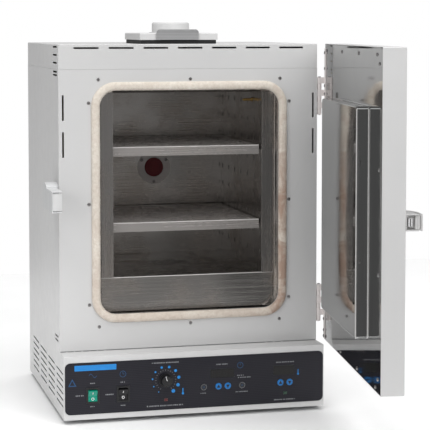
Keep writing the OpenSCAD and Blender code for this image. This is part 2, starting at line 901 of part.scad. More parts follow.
// Circuit board with two numeric displays, key switches and lamp blocks
module display_board() {
    color("#1f5a38") {
        span([-90, 250], [board_y, board_y + 1.6], [28, 36]);
        span([0, 250], [board_y, board_y + 1.6], [28, 120]);
        span([-90, -50], [board_y, board_y + 1.6], [28, 62]);
        for (x = [-85, 8, 243], z = [33, 114])
            if (x > 0 || z < 60)
                bar_y(x, z, 3, panel_y + sheet, board_y - panel_y - sheet);
    }
    color("#16181c") {
        for (d = displays)
            span([d[0] - d[2] / 2 + 0.3, d[0] + d[2] / 2 - 0.3], [overlay_y + 0.3, board_y],
                 [d[1] - d[3] / 2 + 0.3, d[1] + d[3] / 2 - 0.3]);
        for (l = lamps)
            span([l[0] - 4, l[0] + 4], [overlay_y + 0.2, board_y], [l[1] - 3, l[1] + 3]);
        for (k = keys)
            bar_y(k[0], k[1], 3.2, panel_y + 5.2, board_y - panel_y - 5.2);
    }
}

// Main board with transformer, relays and terminal strip, on posts above the bottom pan
module power_board() {
    z = base_z + sheet;
    color("#2b6b45") difference() {
        union() {
            span([-240, -80], [-40, 160], [z + 12, z + 13.6]);
            for (x = [-232, -88], y = [-32, 152])
                bar_z(x, y, 4, z, 12);
            span([-230, -160], [-30, 30], [z + 13, z + 65]);
            for (y = [50, 85, 120])
                span([-225, -197], [y, y + 28], [z + 13, z + 40]);
            span([-150, -95], [60, 150], [z + 13, z + 38]);
            span([-140, -90], [-30, 40], [z + 13, z + 30]);
        }
        for (i = [0:5])
            span([-160, -90], [68 + 13 * i, 72 + 13 * i], [z + 25, z + 50]);
    }
}

// Male appliance inlet in the rear panel
module mains_inlet() {
    y = back_y;
    color("#151515") {
        difference() {
            union() {
                round_plate(inlet_x, inlet_z, 50, 24, 3, y, 3);
                span([inlet_x - 13.5, inlet_x + 13.5], [y - 22, y + 1],
                     [inlet_z - 10, inlet_z + 10]);
            }
            span([inlet_x - 12.2, inlet_x + 12.2], [y - 17, y + 5],
                 [inlet_z - 8.5, inlet_z + 8.5]);
        }
        for (dx = [-7, 0, 7])
            span([inlet_x + dx - 1, inlet_x + dx + 1], [y - 18, y - 1],
                 [inlet_z - 2, inlet_z + 2]);
    }
}

// ---------- door ----------

module door_shell() {
    t = 1.2;
    color("gainsboro") on_door() difference() {
        span([-side_x, side_x], [door_out_y, door_in_y], [door_z0, top_z]);
        span([-side_x + t, side_x - t], [door_out_y + t, door_in_y + 1],
             [door_z0 + t, top_z - t]);
    }
}

// Polished inner face with its raised, hollow plug
module door_liner() {
    t = 1.2;
    m = 1.5;
    color("#c9c9c9") on_door() difference() {
        union() {
            span([-side_x + m, side_x - m], [door_in_y - t, door_in_y],
                 [door_z0 + m, top_z - m]);
            round_plate(plug_x, plug_z, plug_w, plug_h, plug_r, door_in_y - t, plug_d + t);
        }
        round_plate(plug_x, plug_z, plug_w - 2 * t, plug_h - 2 * t, plug_r - t,
                    door_in_y - t - 1, plug_d + 1);
        for (p = door_screw_places())
            bar_y(p[0], p[1], 2, door_in_y - t - 1, t + 2);
        for (k = [0, 1], z = leaf_screw_z[k])
            bar_y(side_x - 7.5, z, 2, door_in_y - t - 1, t + 2);
    }
}

module door_insulation() {
    color("#d9cda0") on_door() {
        span([-side_x + 2, side_x - 2], [door_out_y + 2, door_in_y - 2],
             [door_z0 + 2, top_z - 2]);
        round_plate(plug_x, plug_z, plug_w - 6, plug_h - 6, plug_r - 3, door_in_y - 3,
                    plug_d - 1);
    }
}

function door_screw_places() = [
    for (i = [0:3]) [side_x - 20 - 180 * i, 837],
    for (i = [0:3]) [side_x - 20 - 180 * i, 166],
    for (i = [0:3]) [-side_x + 28, 186 + 211 * i]
];

module door_screws() {
    color("silver") on_door() {
        for (p = door_screw_places())
            translate([p[0], door_in_y, p[1]]) rotate([-90, 0, 0]) pan_screw(1.5);
        for (k = [0, 1], z = leaf_screw_z[k])
            translate([side_x - 7.5, door_in_y + 2, z]) rotate([-90, 0, 0]) pan_screw(3.4);
    }
}

// Channel on the door's outer face, open at the free edge
module latch_housing() {
    x0 = -side_x;
    color("#c4c4c4") on_door() difference() {
        union() {
            span([x0, x0 + 60], [latch_y0 - 2, latch_y0], [latch_z0, latch_z0 + latch_h]);
            for (z = [latch_z0, latch_z0 + latch_h - 2.5])
                intersection() {
                    span([x0, x0 + 62], [latch_y0 - 27, latch_y0], [z, z + 2.5]);
                    union() {
                        span([x0, x0 + 22.7], [latch_y0 - 27, latch_y0], [z, z + 2.5]);
                        bar_z(x0 + 22.7, latch_y0 + 28.4, 53.5, z, 2.5);
                    }
                }
        }
        bar_z(latch_turn_x, latch_turn_y, latch_pin_r, latch_z0 - 1, latch_h + 2);
    }
}

module latch_pin() {
    color("silver") on_door()
        bar_z(latch_turn_x, latch_turn_y, latch_pin_r, latch_z0, latch_h);
}

// Curved paddle over the channel; pressing its inner end swings it about the pin
module latch_handle() {
    x0 = -side_x;
    y0 = latch_y0 - latch_d;
    t = 3.5;
    color("#cfcfcf") on_door() difference() {
        union() {
            span([x0, x0 + 30.1], [y0, y0 + t], [latch_z0, latch_z0 + latch_h]);
            intersection() {
                difference() {
                    bar_z(x0 + 30, y0 + latch_bend_r, latch_bend_r, latch_z0, latch_h);
                    bar_z(x0 + 30, y0 + latch_bend_r, latch_bend_r - t, latch_z0 - 1, latch_h + 2);
                }
                span([x0 + 30, x0 + 80], [y0, y0 + 21], [latch_z0, latch_z0 + latch_h]);
            }
            bar_z(latch_turn_x, latch_turn_y, 6.5, latch_z0 + 3, latch_h - 6);
        }
        bar_z(latch_turn_x, latch_turn_y, latch_pin_r + 0.06, latch_z0 - 5, latch_h + 10);
    }
}

// Sliding bolt with a rounded nose
module latch_bolt() {
    y1 = latch_y0 - 4;
    y0 = y1 - 12;
    z0 = latch_z0 + latch_h / 2 - 9;
    color("#e2e2e2") on_door() {
        span([-side_x + 7, -side_x + 52], [y0, y1], [z0, z0 + 18]);
        bar_z(-side_x + 7, (y0 + y1) / 2, 6, z0, 18);
    }
}

left_side_panel();
right_side_panel();
top_cap();
front_fascia();
base_front();
bottom_pan();
rear_panel();
deck_plate();
rubber_feet();
chamber_liner();
cabinet_insulation();
left_duct_wall();
right_duct_wall();
floor_cover();
heater_element();
fan_motor();
fan_wheel();
fan_shaft();
temperature_probe();
door_gasket();
cabinet_screws();
shelf_clips();
upper_shelf();
lower_shelf();
port_sleeve();
port_stopper();
exhaust_gasket();
exhaust_plate();
exhaust_damper();
exhaust_collar();
exhaust_duct();
cabinet_hinge_leaves();
hinge_pins();
strike_frame();
strike_keeper();
control_overlay();
power_switch_body();
power_rocker();
aux_switch_body();
aux_rocker();
limit_thermostat();
limit_knob();
timer_mode_key();
timer_up_key();
timer_down_key();
timer_start_key();
setpoint_up_key();
setpoint_down_key();
display_board();
power_board();
mains_inlet();
door_shell();
door_liner();
door_insulation();
door_screws();
door_hinge_leaves();
latch_housing();
latch_handle();
latch_bolt();
latch_pin();
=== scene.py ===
"""Looks of a bench-top forced-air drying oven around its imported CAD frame. Metres, row frame."""

import json
import math
import random

import bmesh
import bpy
from mathutils import Matrix, Vector, noise


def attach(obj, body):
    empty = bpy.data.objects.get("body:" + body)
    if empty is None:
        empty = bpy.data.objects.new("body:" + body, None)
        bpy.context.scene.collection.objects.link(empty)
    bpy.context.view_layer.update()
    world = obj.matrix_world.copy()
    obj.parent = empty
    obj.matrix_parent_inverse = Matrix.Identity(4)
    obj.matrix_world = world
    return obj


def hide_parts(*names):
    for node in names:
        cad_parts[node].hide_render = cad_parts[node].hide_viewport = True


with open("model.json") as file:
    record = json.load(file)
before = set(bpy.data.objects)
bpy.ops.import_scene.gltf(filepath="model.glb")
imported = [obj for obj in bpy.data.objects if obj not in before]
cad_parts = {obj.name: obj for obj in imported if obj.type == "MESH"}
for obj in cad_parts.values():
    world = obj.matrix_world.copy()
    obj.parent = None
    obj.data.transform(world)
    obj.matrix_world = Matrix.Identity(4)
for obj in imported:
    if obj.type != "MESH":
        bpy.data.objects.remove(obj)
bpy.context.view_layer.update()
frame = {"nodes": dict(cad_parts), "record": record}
NODES = frame["nodes"]
RECORD = frame["record"]
random.seed(11)
SCENE = bpy.context.scene
MM = 0.001

# ---------- frame facts
NODE_SLOT = {s["node"]: s["material_slot"] for s in RECORD["subparts"]}
NODE_BODY = {n: b for b, ns in RECORD["behaviour"]["bodies"].items() for n in ns}
FRONT = -250.0  # front plane of the upper cabinet
BACK = 250.0  # rear plane of the cabinet
SIDE = 305.0
TOP = 853.0
CAP_SEAM = 790.0  # the edges under the cap all lie above this height
PANEL = -307.0  # front of the base
LEDGE = 154.0  # top edge of the base's front
FILM = PANEL - 1.2  # face of the graphic overlay
OPEN_W, OPEN_H, OPEN_R, OPEN_Z = 422.0, 511.0, 37.0, 237.0
OPEN_MID = OPEN_Z + OPEN_H / 2
CEILING = OPEN_Z + OPEN_H - 6.0
LINER_BACK = FRONT + 400.0
PORT_Z = 537.0  # middle of the rear access port
EXHAUST = (-16.0, -115.0)  # x and y of the exhaust's axis
DOOR_IN = FRONT - 9.0  # inner sheet of the closed door
DOOR_OUT = -308.0
DOOR_FOOT = 157.0
DOOR_BODIES = ("door", "latch_handle", "latch_bolt")
PLUG_FACE = DOOR_IN + 27.0
PLUG_X, PLUG_Z = 10.0, 489.5
KNOB_X, KNOB_Z = -72.0, 90.5
SWITCHES = (("power_rocker", -240.0), ("aux_rocker", -170.5))
SWITCH_Z = 64.5
KEYS = {"timer_mode_key": (17, 69.5), "timer_up_key": (52, 69.5), "timer_down_key": (74, 69.5),
        "timer_start_key": (108, 69.5), "setpoint_up_key": (200, 70.3), "setpoint_down_key": (222, 70.3)}
DISPLAYS = ((61, 99.5, 56, 20), (208, 99.2, 50, 22))  # x, z, width, height
LAMP_Z = 45.4
PIN = Vector((311.5 * MM, -246.7 * MM, 0.0))
SWING = math.radians(82.5)
DOOR = Matrix.Translation(PIN) @ Matrix.Rotation(SWING, 4, "Z") @ Matrix.Translation(-PIN)
DOOR_BACK = DOOR.inverted()
SHARP = math.radians(32)  # edges sharper than this are rounded


# ---------- material helpers
class Mat:
    """A procedural material on one Principled shader, in object coordinates."""

    def __init__(self, name):
        self.m = bpy.data.materials.new(name)
        self.m.use_nodes = True
        self.t = self.m.node_tree
        self.t.nodes.clear()
        out = self.t.nodes.new("ShaderNodeOutputMaterial")
        self.b = self.t.nodes.new("ShaderNodeBsdfPrincipled")
        self.t.links.new(self.b.outputs[0], out.inputs[0])
        self.co = self.t.nodes.new("ShaderNodeTexCoord").outputs["Object"]

    def feed(self, socket, value):
        """Links another node's output to a socket, or gives the socket a plain value."""
        if isinstance(value, bpy.types.NodeSocket):
            self.t.links.new(value, socket)
        elif socket.type == "RGBA" and len(value) == 3:
            socket.default_value = (*value, 1.0)
        else:
            socket.default_value = value

    def put(self, name, value):
        self.feed(self.b.inputs[name], value)

    def node(self, kind, inputs, output=0, **settings):
        """A new node with its settings and inputs; gives back one of its outputs."""
        n = self.t.nodes.new("ShaderNode" + kind)
        for key, value in settings.items():
            setattr(n, key, value)
        for key, value in inputs.items():
            self.feed(n.inputs[key], value)
        return n.outputs[output]

    def mapped(self, scale):
        return self.node("Mapping", {"Vector": self.co, "Scale": scale})

    def noise(self, scale, detail=3.0, rough=0.5, vector=None, distortion=0.0):
        return self.node("TexNoise", {"Vector": vector or self.co, "Scale": scale, "Detail": detail,
                                      "Roughness": rough, "Distortion": distortion}, "Fac")

    def voronoi(self, scale):
        return self.node("TexVoronoi", {"Vector": self.co, "Scale": scale}, "Distance", feature="F1")

    def wave(self, scale, direction, distortion=0.0, detail=0.0):
        return self.node("TexWave", {"Vector": self.co, "Scale": scale, "Distortion": distortion,
                                     "Detail": detail}, "Fac", wave_type="BANDS", bands_direction=direction)

    def ranged(self, value, low, high, lo=0.0, hi=1.0):
        return self.node("MapRange", {"Value": value, "From Min": low, "From Max": high, "To Min": lo,
                                      "To Max": hi}, interpolation_type="SMOOTHSTEP")

    def math(self, op, a, b):
        return self.node("Math", {0: a, 1: b}, operation=op)

    def axis(self, name):
        return self.node("SeparateXYZ", {0: self.co}, name)

    def mix(self, fac, a, b):
        """Two colours, each a triple or another node's output, mixed by fac."""
        return self.node("Mix", {0: fac, 6: a, 7: b}, 2, data_type="RGBA")

    def bump(self, height, strength, distance, normal=None):
        inputs = {"Strength": strength, "Distance": distance, "Height": height}
        if normal is not None:
            inputs["Normal"] = normal
        return self.node("Bump", inputs)


def tint(c, k):
    return tuple(min(1.0, x * k) for x in c)


def powder(name, c, rough=0.42):
    """Satin powder coat: orange peel, faint blotches and fine speckle."""
    m = Mat(name)
    broad = m.noise(3.2, 4, 0.55)
    speck = m.noise(1500, 2, 0.6)
    base = m.mix(m.ranged(broad, 0.35, 0.65), tint(c, 0.975), tint(c, 1.02))
    base = m.mix(m.ranged(speck, 0.44, 0.62, 0.0, 0.5), base, tint(c, 0.93))
    m.put("Base Color", base)
    m.put("Roughness", m.ranged(m.noise(26, 5, 0.6), 0.3, 0.7, rough - 0.06, rough + 0.07))
    peel = m.noise(620, 2, 0.5)
    m.put("Normal", m.bump(peel, 0.10, 0.0004))
    m.put("Specular IOR Level", 0.45)
    m.put("Coat Weight", 0.12)
    m.put("Coat Roughness", 0.28)
    return m.m


def brushed(name, c, rough=0.3, along="Z", warm=None, streak=0.14, heat=0.0, metallic=1.0):
    """Brushed sheet: streaks stretched along one axis, blotches and an optional heat tone."""
    m = Mat(name)
    fine = {"X": (4, 900, 900), "Y": (900, 4, 900), "Z": (900, 900, 4)}[along]
    wide = {"X": (1.5, 90, 90), "Y": (90, 1.5, 90), "Z": (90, 90, 1.5)}[along]
    hair = m.noise(1.0, 3, 0.6, m.mapped(fine))
    band = m.noise(1.0, 3, 0.55, m.mapped(wide))
    blot = m.noise(7.0, 5, 0.6)
    base = m.mix(m.ranged(hair, 0.3, 0.7), tint(c, 1 - streak), tint(c, 1 + streak))
    base = m.mix(m.ranged(band, 0.35, 0.7, 0, 0.5), base, tint(c, 1 - 1.2 * streak))
    if warm:
        base = m.mix(m.ranged(blot, 0.42, 0.68, 0, heat), base, warm)
    m.put("Base Color", base)
    m.put("Metallic", metallic)
    r = m.math("ADD", m.ranged(hair, 0.3, 0.7, rough - 0.05, rough + 0.08),
               m.ranged(blot, 0.4, 0.7, -0.02, 0.09))
    m.put("Roughness", r)
    m.put("Normal", m.bump(hair, 0.06, 0.0003, m.bump(m.noise(16, 2, 0.5), 0.05, 0.002)))
    return m.m


def polished(name, c, rough=0.06):
    """Polished stainless: faint vertical grain, slow waviness, light wipe marks."""
    m = Mat(name)
    hair = m.noise(1.0, 2, 0.5, m.mapped((700, 700, 5)))
    smear = m.noise(11, 5, 0.62, None, 0.4)
    base = m.mix(m.ranged(hair, 0.35, 0.68), tint(c, 0.93), tint(c, 1.05))
    base = m.mix(m.ranged(smear, 0.5, 0.75, 0, 0.3), base, tint(c, 0.86))
    m.put("Base Color", base)
    m.put("Metallic", 1.0)
    m.put("Roughness", m.math("ADD", m.ranged(smear, 0.35, 0.75, rough, rough + 0.07),
                              m.ranged(hair, 0.3, 0.7, 0.0, 0.03)))
    m.put("Normal", m.bump(m.noise(5.5, 2, 0.5), 0.16, 0.004))
    return m.m


def rubber(name, c, rough=0.7, grain=900):
    m = Mat(name)
    n = m.noise(grain, 3, 0.6)
    dust = m.noise(40, 5, 0.65)
    m.put("Base Color", m.mix(m.ranged(dust, 0.45, 0.75, 0, 0.45), c, tuple(x * 1.5 + 0.012 for x in c)))
    m.put("Roughness", m.ranged(n, 0.3, 0.7, rough - 0.08, rough + 0.1))
    m.put("Normal", m.bump(n, 0.22, 0.0003))
    return m.m


def plastic(name, c, rough=0.35, grain=1400, bump=0.12, glow=None, coat=0.0):
    m = Mat(name)
    n = m.noise(grain, 2, 0.6)
    wear = m.noise(70, 5, 0.6)
    m.put("Base Color", m.mix(m.ranged(wear, 0.4, 0.75), tint(c, 0.94), tuple(x * 1.08 + 0.003 for x in c)))
    m.put("Roughness", m.ranged(wear, 0.3, 0.7, rough - 0.05, rough + 0.08))
    m.put("Normal", m.bump(n, bump, 0.0002))
    if coat:
        m.put("Coat Weight", coat)
        m.put("Coat Roughness", 0.08)
    if glow:
        m.put("Emission Color", glow[:3])
        m.put("Emission Strength", glow[3])
    return m.m


def fibre(name):
    """Woven glass-fibre sleeve, cream with scattered tan patches, laid on more heavily towards the right side
    and the bottom.
    """
    m = Mat(name)
    soft = m.noise(150, 5, 0.7)
    fuzz = m.noise(1500, 3, 0.7)
    stain = m.noise(17, 6, 0.66, None, 0.5)
    cream = (0.80, 0.745, 0.665)
    base = m.mix(m.ranged(soft, 0.3, 0.72), (0.64, 0.575, 0.49), cream)
    base = m.mix(m.ranged(fuzz, 0.4, 0.7, 0, 0.5), base, (0.88, 0.84, 0.78))
    # the tan is heavier towards the right side and the lower part of the rope
    right = m.ranged(m.axis("X"), 0.12, 0.235)
    low = m.ranged(m.axis("Z"), 0.60, 0.30)
    where = m.math("ADD", m.math("MULTIPLY", right, m.ranged(m.axis("Z"), 0.72, 0.40, 0.3, 1.0)),
                   m.math("MULTIPLY", low, 0.2))
    amount = m.math("MULTIPLY", m.math("ADD", where, 0.16), m.ranged(stain, 0.34, 0.62, 0.15, 1.0))
    base = m.mix(amount, base, (0.42, 0.295, 0.23))
    m.put("Base Color", base)
    m.put("Roughness", 0.92)
    m.put("Sheen Weight", 0.25)
    m.put("Sheen Roughness", 0.5)
    m.put("Normal", m.bump(fuzz, 0.6, 0.0006, m.bump(m.noise(420, 4, 0.7), 0.5, 0.0008)))
    return m.m


def wool(name):
    m = Mat(name)
    strands = m.noise(1.0, 5, 0.7, m.mapped((380, 90, 520)))
    clump = m.noise(38, 5, 0.7)
    base = m.mix(m.ranged(strands, 0.3, 0.7), (0.42, 0.33, 0.12), (0.74, 0.64, 0.33))
    m.put("Base Color", m.mix(m.ranged(clump, 0.35, 0.7, 0, 0.5), base, (0.50, 0.41, 0.19)))
    m.put("Roughness", 0.95)
    m.put("Normal", m.bump(strands, 0.7, 0.0012, m.bump(clump, 0.5, 0.003)))
    return m.m


def film(name):
    """Printed polyester film: near black, fine ruled lines, pebbled gloss."""
    m = Mat(name)
    lines = m.wave(78.0, "Z")
    soft = m.noise(5, 3, 0.5)
    base = m.mix(m.ranged(lines, 0.55, 0.95, 0.0, 0.7), (0.0085, 0.0083, 0.0135), (0.019, 0.0185, 0.026))
    base = m.mix(m.ranged(soft, 0.35, 0.7, 0.0, 0.5), base, (0.017, 0.016, 0.022))
    m.put("Base Color", base)
    m.put("Roughness", m.ranged(m.noise(60, 4, 0.6), 0.3, 0.7, 0.30, 0.40))
    m.put("Normal", m.bump(m.noise(2600, 2, 0.5), 0.10, 0.0002))
    m.put("Specular IOR Level", 0.3)
    return m.m


def board(name):
    m = Mat(name)
    cell = m.voronoi(240)
    tracks = m.wave(420, "X", 3.0, 1.0)
    base = m.mix(m.ranged(tracks, 0.45, 0.6), (0.012, 0.085, 0.035), (0.03, 0.17, 0.07))
    m.put("Base Color", m.mix(m.ranged(cell, 0.16, 0.24, 0.8, 0.0), base, (0.55, 0.53, 0.48)))
    m.put("Roughness", 0.4)
    m.put("Normal", m.bump(tracks, 0.2, 0.0002))
    return m.m


# ---------- materials, one per record slot
PAINT = (0.615, 0.613, 0.612)
FINISH = {
    "painted_sheet": (powder, PAINT),
    "zinc_sheet": (brushed, (0.52, 0.53, 0.54), 0.42, "X"),
    "foot_rubber": (rubber, (0.02, 0.02, 0.02)),
    "chamber_steel": (brushed, (0.47, 0.45, 0.43), 0.19, "X", (0.36, 0.29, 0.24), 0.05, 0.35),
    "shelf_steel": (brushed, (0.56, 0.53, 0.51), 0.21, "X", (0.42, 0.36, 0.32), 0.06, 0.35, 0.72),
    "port_steel": (brushed, (0.60, 0.565, 0.55), 0.42, "X", None, 0.08, 0.0, 0.6),
    "mineral_wool": (wool,),
    "heater_sheath": (brushed, (0.11, 0.10, 0.095), 0.5, "Z", (0.17, 0.10, 0.06), 0.3, 0.6),
    "motor_case": (powder, (0.045, 0.048, 0.052), 0.5),
    "fan_alloy": (brushed, (0.66, 0.67, 0.68), 0.35, "X"),
    "shaft_steel": (brushed, (0.64, 0.64, 0.65), 0.18, "Z", None, 0.1),
    "probe_brass": (brushed, (0.55, 0.37, 0.13), 0.28, "X", (0.30, 0.17, 0.06), 0.2, 0.5),
    "gasket_fibre": (fibre,),
    "screw_steel": (brushed, (0.34, 0.33, 0.33), 0.26, "X", None, 0.15),
    "stopper_silicone": (rubber, (0.19, 0.008, 0.014), 0.5, 500),
    "seal_rubber": (rubber, (0.012, 0.012, 0.013), 0.65),
    "damper_steel": (brushed, (0.52, 0.52, 0.525), 0.40, "X", None, 0.1, 0.0, 0.75),
    "hinge_steel": (brushed, (0.84, 0.785, 0.77), 0.42, "Z", None, 0.06, 0.0, 0.2),
    "strike_metal": (powder, (0.60, 0.605, 0.61), 0.36),
    "keeper_steel": (brushed, (0.82, 0.82, 0.82), 0.4, "Z", None, 0.08, 0.0, 0.35),
    "overlay_film": (film,),
    "black_plastic": (plastic, (0.0065, 0.0065, 0.0075), 0.36),
    "green_plastic": (plastic, (0.003, 0.165, 0.125), 0.22, 900, 0.05, (0.0, 0.30, 0.17, 0.35), 0.3),
    "grey_key_plastic": (plastic, (0.016, 0.017, 0.021), 0.36),
    "blue_key_plastic": (plastic, (0.008, 0.16, 0.46), 0.34),
    "circuit_board": (board,),
    "door_mirror_steel": (polished, (0.38, 0.382, 0.38), 0.03),
    "latch_metal": (brushed, (0.78, 0.775, 0.77), 0.34, "Z", None, 0.08, 0.0, 0.55),
    "bolt_chrome": (brushed, (0.80, 0.80, 0.81), 0.12, "Z", None, 0.06),
}
SLOT = {name: make(name, *looks) for name, (make, *looks) in FINISH.items()}
UPRIGHT_STEEL = brushed("upright_steel", (0.46, 0.44, 0.425), 0.20, "Z", (0.36, 0.29, 0.24), 0.06, 0.35)
# painted highlight: a lighter, less metallic steel laid on the chamber's bends in place of the light they
# catch
BEND_HIGHLIGHT_STEEL = brushed("bend_highlight_steel", (0.64, 0.62, 0.605), 0.34, "X", None, 0.08, 0.0, 0.45)
# painted highlight: a lighter brushed steel for the rounded plug edges of the mirror door liner
DOOR_BEND_HIGHLIGHT_STEEL = brushed("door_bend_highlight_steel", (0.60, 0.59, 0.58), 0.30, "Z", None, 0.08, 0.0, 0.6)
INK = {name: plastic("ink_" + name, c, rough) for name, c, rough in (
    ("blue", (0.010, 0.225, 0.62), 0.4),
    ("dark_blue", (0.008, 0.06, 0.16), 0.4),
    ("pale", (0.22, 0.225, 0.24), 0.45),
    ("grey", (0.15, 0.155, 0.17), 0.45),
    ("dark", (0.006, 0.006, 0.008), 0.4),
    ("white", (0.75, 0.75, 0.75), 0.4))}
LENS_DARK = plastic("display_lens", (0.0035, 0.0032, 0.0032), 0.5, 1200, 0.02)
LENS_RED = plastic("lamp_red", (0.045, 0.002, 0.004), 0.35, 1200, 0.03, (0.35, 0.01, 0.01, 0.12), 0.5)
LENS_GREEN = plastic("lamp_green", (0.002, 0.022, 0.012), 0.35, 1200, 0.03, (0.01, 0.2, 0.06, 0.08), 0.5)
DIGIT = plastic("display_digit", (0.008, 0.007, 0.007), 0.45)


# ---------- mesh helpers
def linked(name, data):
    o = bpy.data.objects.new(name, data)
    SCENE.collection.objects.link(o)
    return o


def mesh_from(name, bm):
    me = bpy.data.meshes.new(name)
    bm.to_mesh(me)
    bm.free()
    return me


def put_object(name, me, material, body, replaces=(), smooth=32):
    """A finished piece: its material, its body and the CAD nodes it stands for."""
    o = linked(name, me)
    me.materials.clear()
    me.materials.append(material)
    if smooth is not None:
        me.shade_smooth()
        me.set_sharp_from_angle(angle=math.radians(smooth))
    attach(o, body)
    if replaces:
        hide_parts(*replaces)
    return o


def from_bm(name, bm, material, body, replaces=(), smooth=32, door=False):
    """A piece from a bmesh. With door, it was drawn on the closed door and is swung open."""
    if door:
        bmesh.ops.transform(bm, matrix=DOOR, verts=bm.verts)
    bmesh.ops.recalc_face_normals(bm, faces=bm.faces)
    return put_object(name, mesh_from(name, bm), material, body, replaces, smooth)


def cad_bm(node):
    """The node's own mesh, joined up and with its flat faces whole."""
    bm = bmesh.new()
    bm.from_mesh(NODES[node].data)
    bmesh.ops.remove_doubles(bm, verts=bm.verts, dist=2e-6)
    bmesh.ops.dissolve_limit(bm, angle_limit=math.radians(0.6), verts=bm.verts, edges=bm.edges)
    return bm


def round_edges(o, width, segments, limit="ANGLE", clamp=True):
    b = o.modifiers.new("round", "BEVEL")
    b.width = width * MM
    b.segments = segments
    b.limit_method = limit
    b.use_clamp_overlap = clamp


def refine(node, r, rules=(), segments=2, material=None, clamp=False):
    """A piece for a rigid node: its own shape, with every sharp edge rounded.
    rules are (test, radius in mm). A test gets the two ends of an edge in mm, with the door closed."""
    body, slot = NODE_BODY[node], NODE_SLOT[node]
    bm = cad_bm(node)
    back = DOOR_BACK if body in DOOR_BODIES else Matrix.Identity(4)
    widest = max([r] + [x[1] for x in rules])
    weight = bm.edges.layers.float.new("bevel_weight_edge")
    for e in bm.edges:
        if len(e.link_faces) != 2 or abs(e.calc_face_angle(0.0)) < SHARP:
            continue
        a, b = (tuple((back @ v.co) / MM) for v in e.verts)
        width = next((value for test, value in rules if test(a, b)), r)
        e[weight] = width / widest
    me = mesh_from(node + "_form", bm)
    o = put_object(node + "_form", me, material or SLOT[slot], body, (node,), None)
    drop_normals(me)
    round_edges(o, widest, segments, "WEIGHT", clamp)
    even_normals(o)
    return o


def highlight_bends(o, test, material=None):
    """Painted highlight: bends get a lighter, less metallic steel than the flats they join, standing in for
    the light they catch. The test gets a face normal and centre.
    """
    o.data.materials.append(material or BEND_HIGHLIGHT_STEEL)
    for p in o.data.polygons:
        if test(p.normal, p.center):
            p.material_index = 1


def drop_normals(me):
    if "custom_normal" in me.attributes:
        me.attributes.remove(me.attributes["custom_normal"])


def apply_modifiers(o):
    dg = bpy.context.evaluated_depsgraph_get()
    me = bpy.data.meshes.new_from_object(o.evaluated_get(dg))
    old = o.data
    o.modifiers.clear()
    o.data = me
    bpy.data.meshes.remove(old)


def even_normals(o, angle=40):
    """Flat faces stay flat; only the rounded edges carry the turn of the light."""
    apply_modifiers(o)
    drop_normals(o.data)
    o.data.shade_smooth()
    o.data.set_sharp_from_angle(angle=math.radians(angle))
    w = o.modifiers.new("even", "WEIGHTED_NORMAL")
    w.mode = "FACE_AREA"
    w.weight = 100
    w.keep_sharp = True
    apply_modifiers(o)


def thicken(o, gauge):
    """Gives a sheet its thickness (mm), on the side away from its normals."""
    s = o.modifiers.new("gauge", "SOLIDIFY")
    s.thickness = gauge * MM
    s.offset = -1
    s.use_even_offset = True


def cut_away(o, bm):
    """Takes the closed shapes in bm out of o."""
    cutter = linked("cutter", mesh_from("cutter", bm))
    b = o.modifiers.new("cut", "BOOLEAN")
    b.operation = "DIFFERENCE"
    b.solver = "EXACT"
    b.object = cutter
    apply_modifiers(o)
    bpy.data.objects.remove(cutter)


def skin(bm, p, q):
    """Faces between two closed rows of as many points each."""
    n = len(p)
    for k in range(n):
        bm.faces.new((p[k], p[(k + 1) % n], q[(k + 1) % n], q[k]))


def skin_round(bm, rows):
    """Faces between each row and the next, and from the last row back to the first."""
    for i, row in enumerate(rows):
        skin(bm, row, rows[(i + 1) % len(rows)])


def disc(cx, cz, r, n=28):
    angles = [2 * math.pi * i / n for i in range(n)]
    return [(cx + r * math.cos(a), cz + r * math.sin(a)) for a in angles]


def ring(cx, cz, inner, outer, n=40):
    """A band: a pair of outlines."""
    return disc(cx, cz, inner, n), disc(cx, cz, outer, n)


def rect(x0, x1, z0, z1, r=0.0):
    if r <= 0:
        return [(x0, z0), (x1, z0), (x1, z1), (x0, z1)]
    pts = []
    corners = ((x1 - r, z0 + r, -90), (x1 - r, z1 - r, 0), (x0 + r, z1 - r, 90), (x0 + r, z0 + r, 180))
    for cx, cz, a0 in corners:
        for i in range(5):
            a = math.radians(a0 + 22.5 * i)
            pts.append((cx + r * math.cos(a), cz + r * math.sin(a)))
    return pts


def solid(bm, shape, y0, y1):
    """An outline in the XZ plane, or a band given as a pair of outlines, between two y values (mm)."""
    if isinstance(shape, tuple):
        rows = []
        for a, b in zip(*shape):
            rows.append([bm.verts.new((x * MM, y * MM, z * MM))
                         for (x, z), y in ((a, y0), (b, y0), (b, y1), (a, y1))])
        skin_round(bm, rows)
        return
    near_side = [bm.verts.new((x * MM, y0 * MM, z * MM)) for x, z in shape]
    far_side = [bm.verts.new((x * MM, y1 * MM, z * MM)) for x, z in shape]
    bm.faces.new(near_side)
    bm.faces.new(list(reversed(far_side)))
    skin(bm, far_side, near_side)


def lathe(bm, profile, centre, n, axis):
    """A closed ring of revolution from (r, h) points in mm, in order round the section."""
    rows = []
    for c, s in disc(0, 0, 1, n):
        row = []
        for r, h in profile:
            p = (r * c, r * s, h) if axis == "Z" else (r * c, h, r * s)
            row.append(bm.verts.new([(p[k] + centre[k]) * MM for k in range(3)]))
        rows.append(row)
    skin_round(bm, rows)


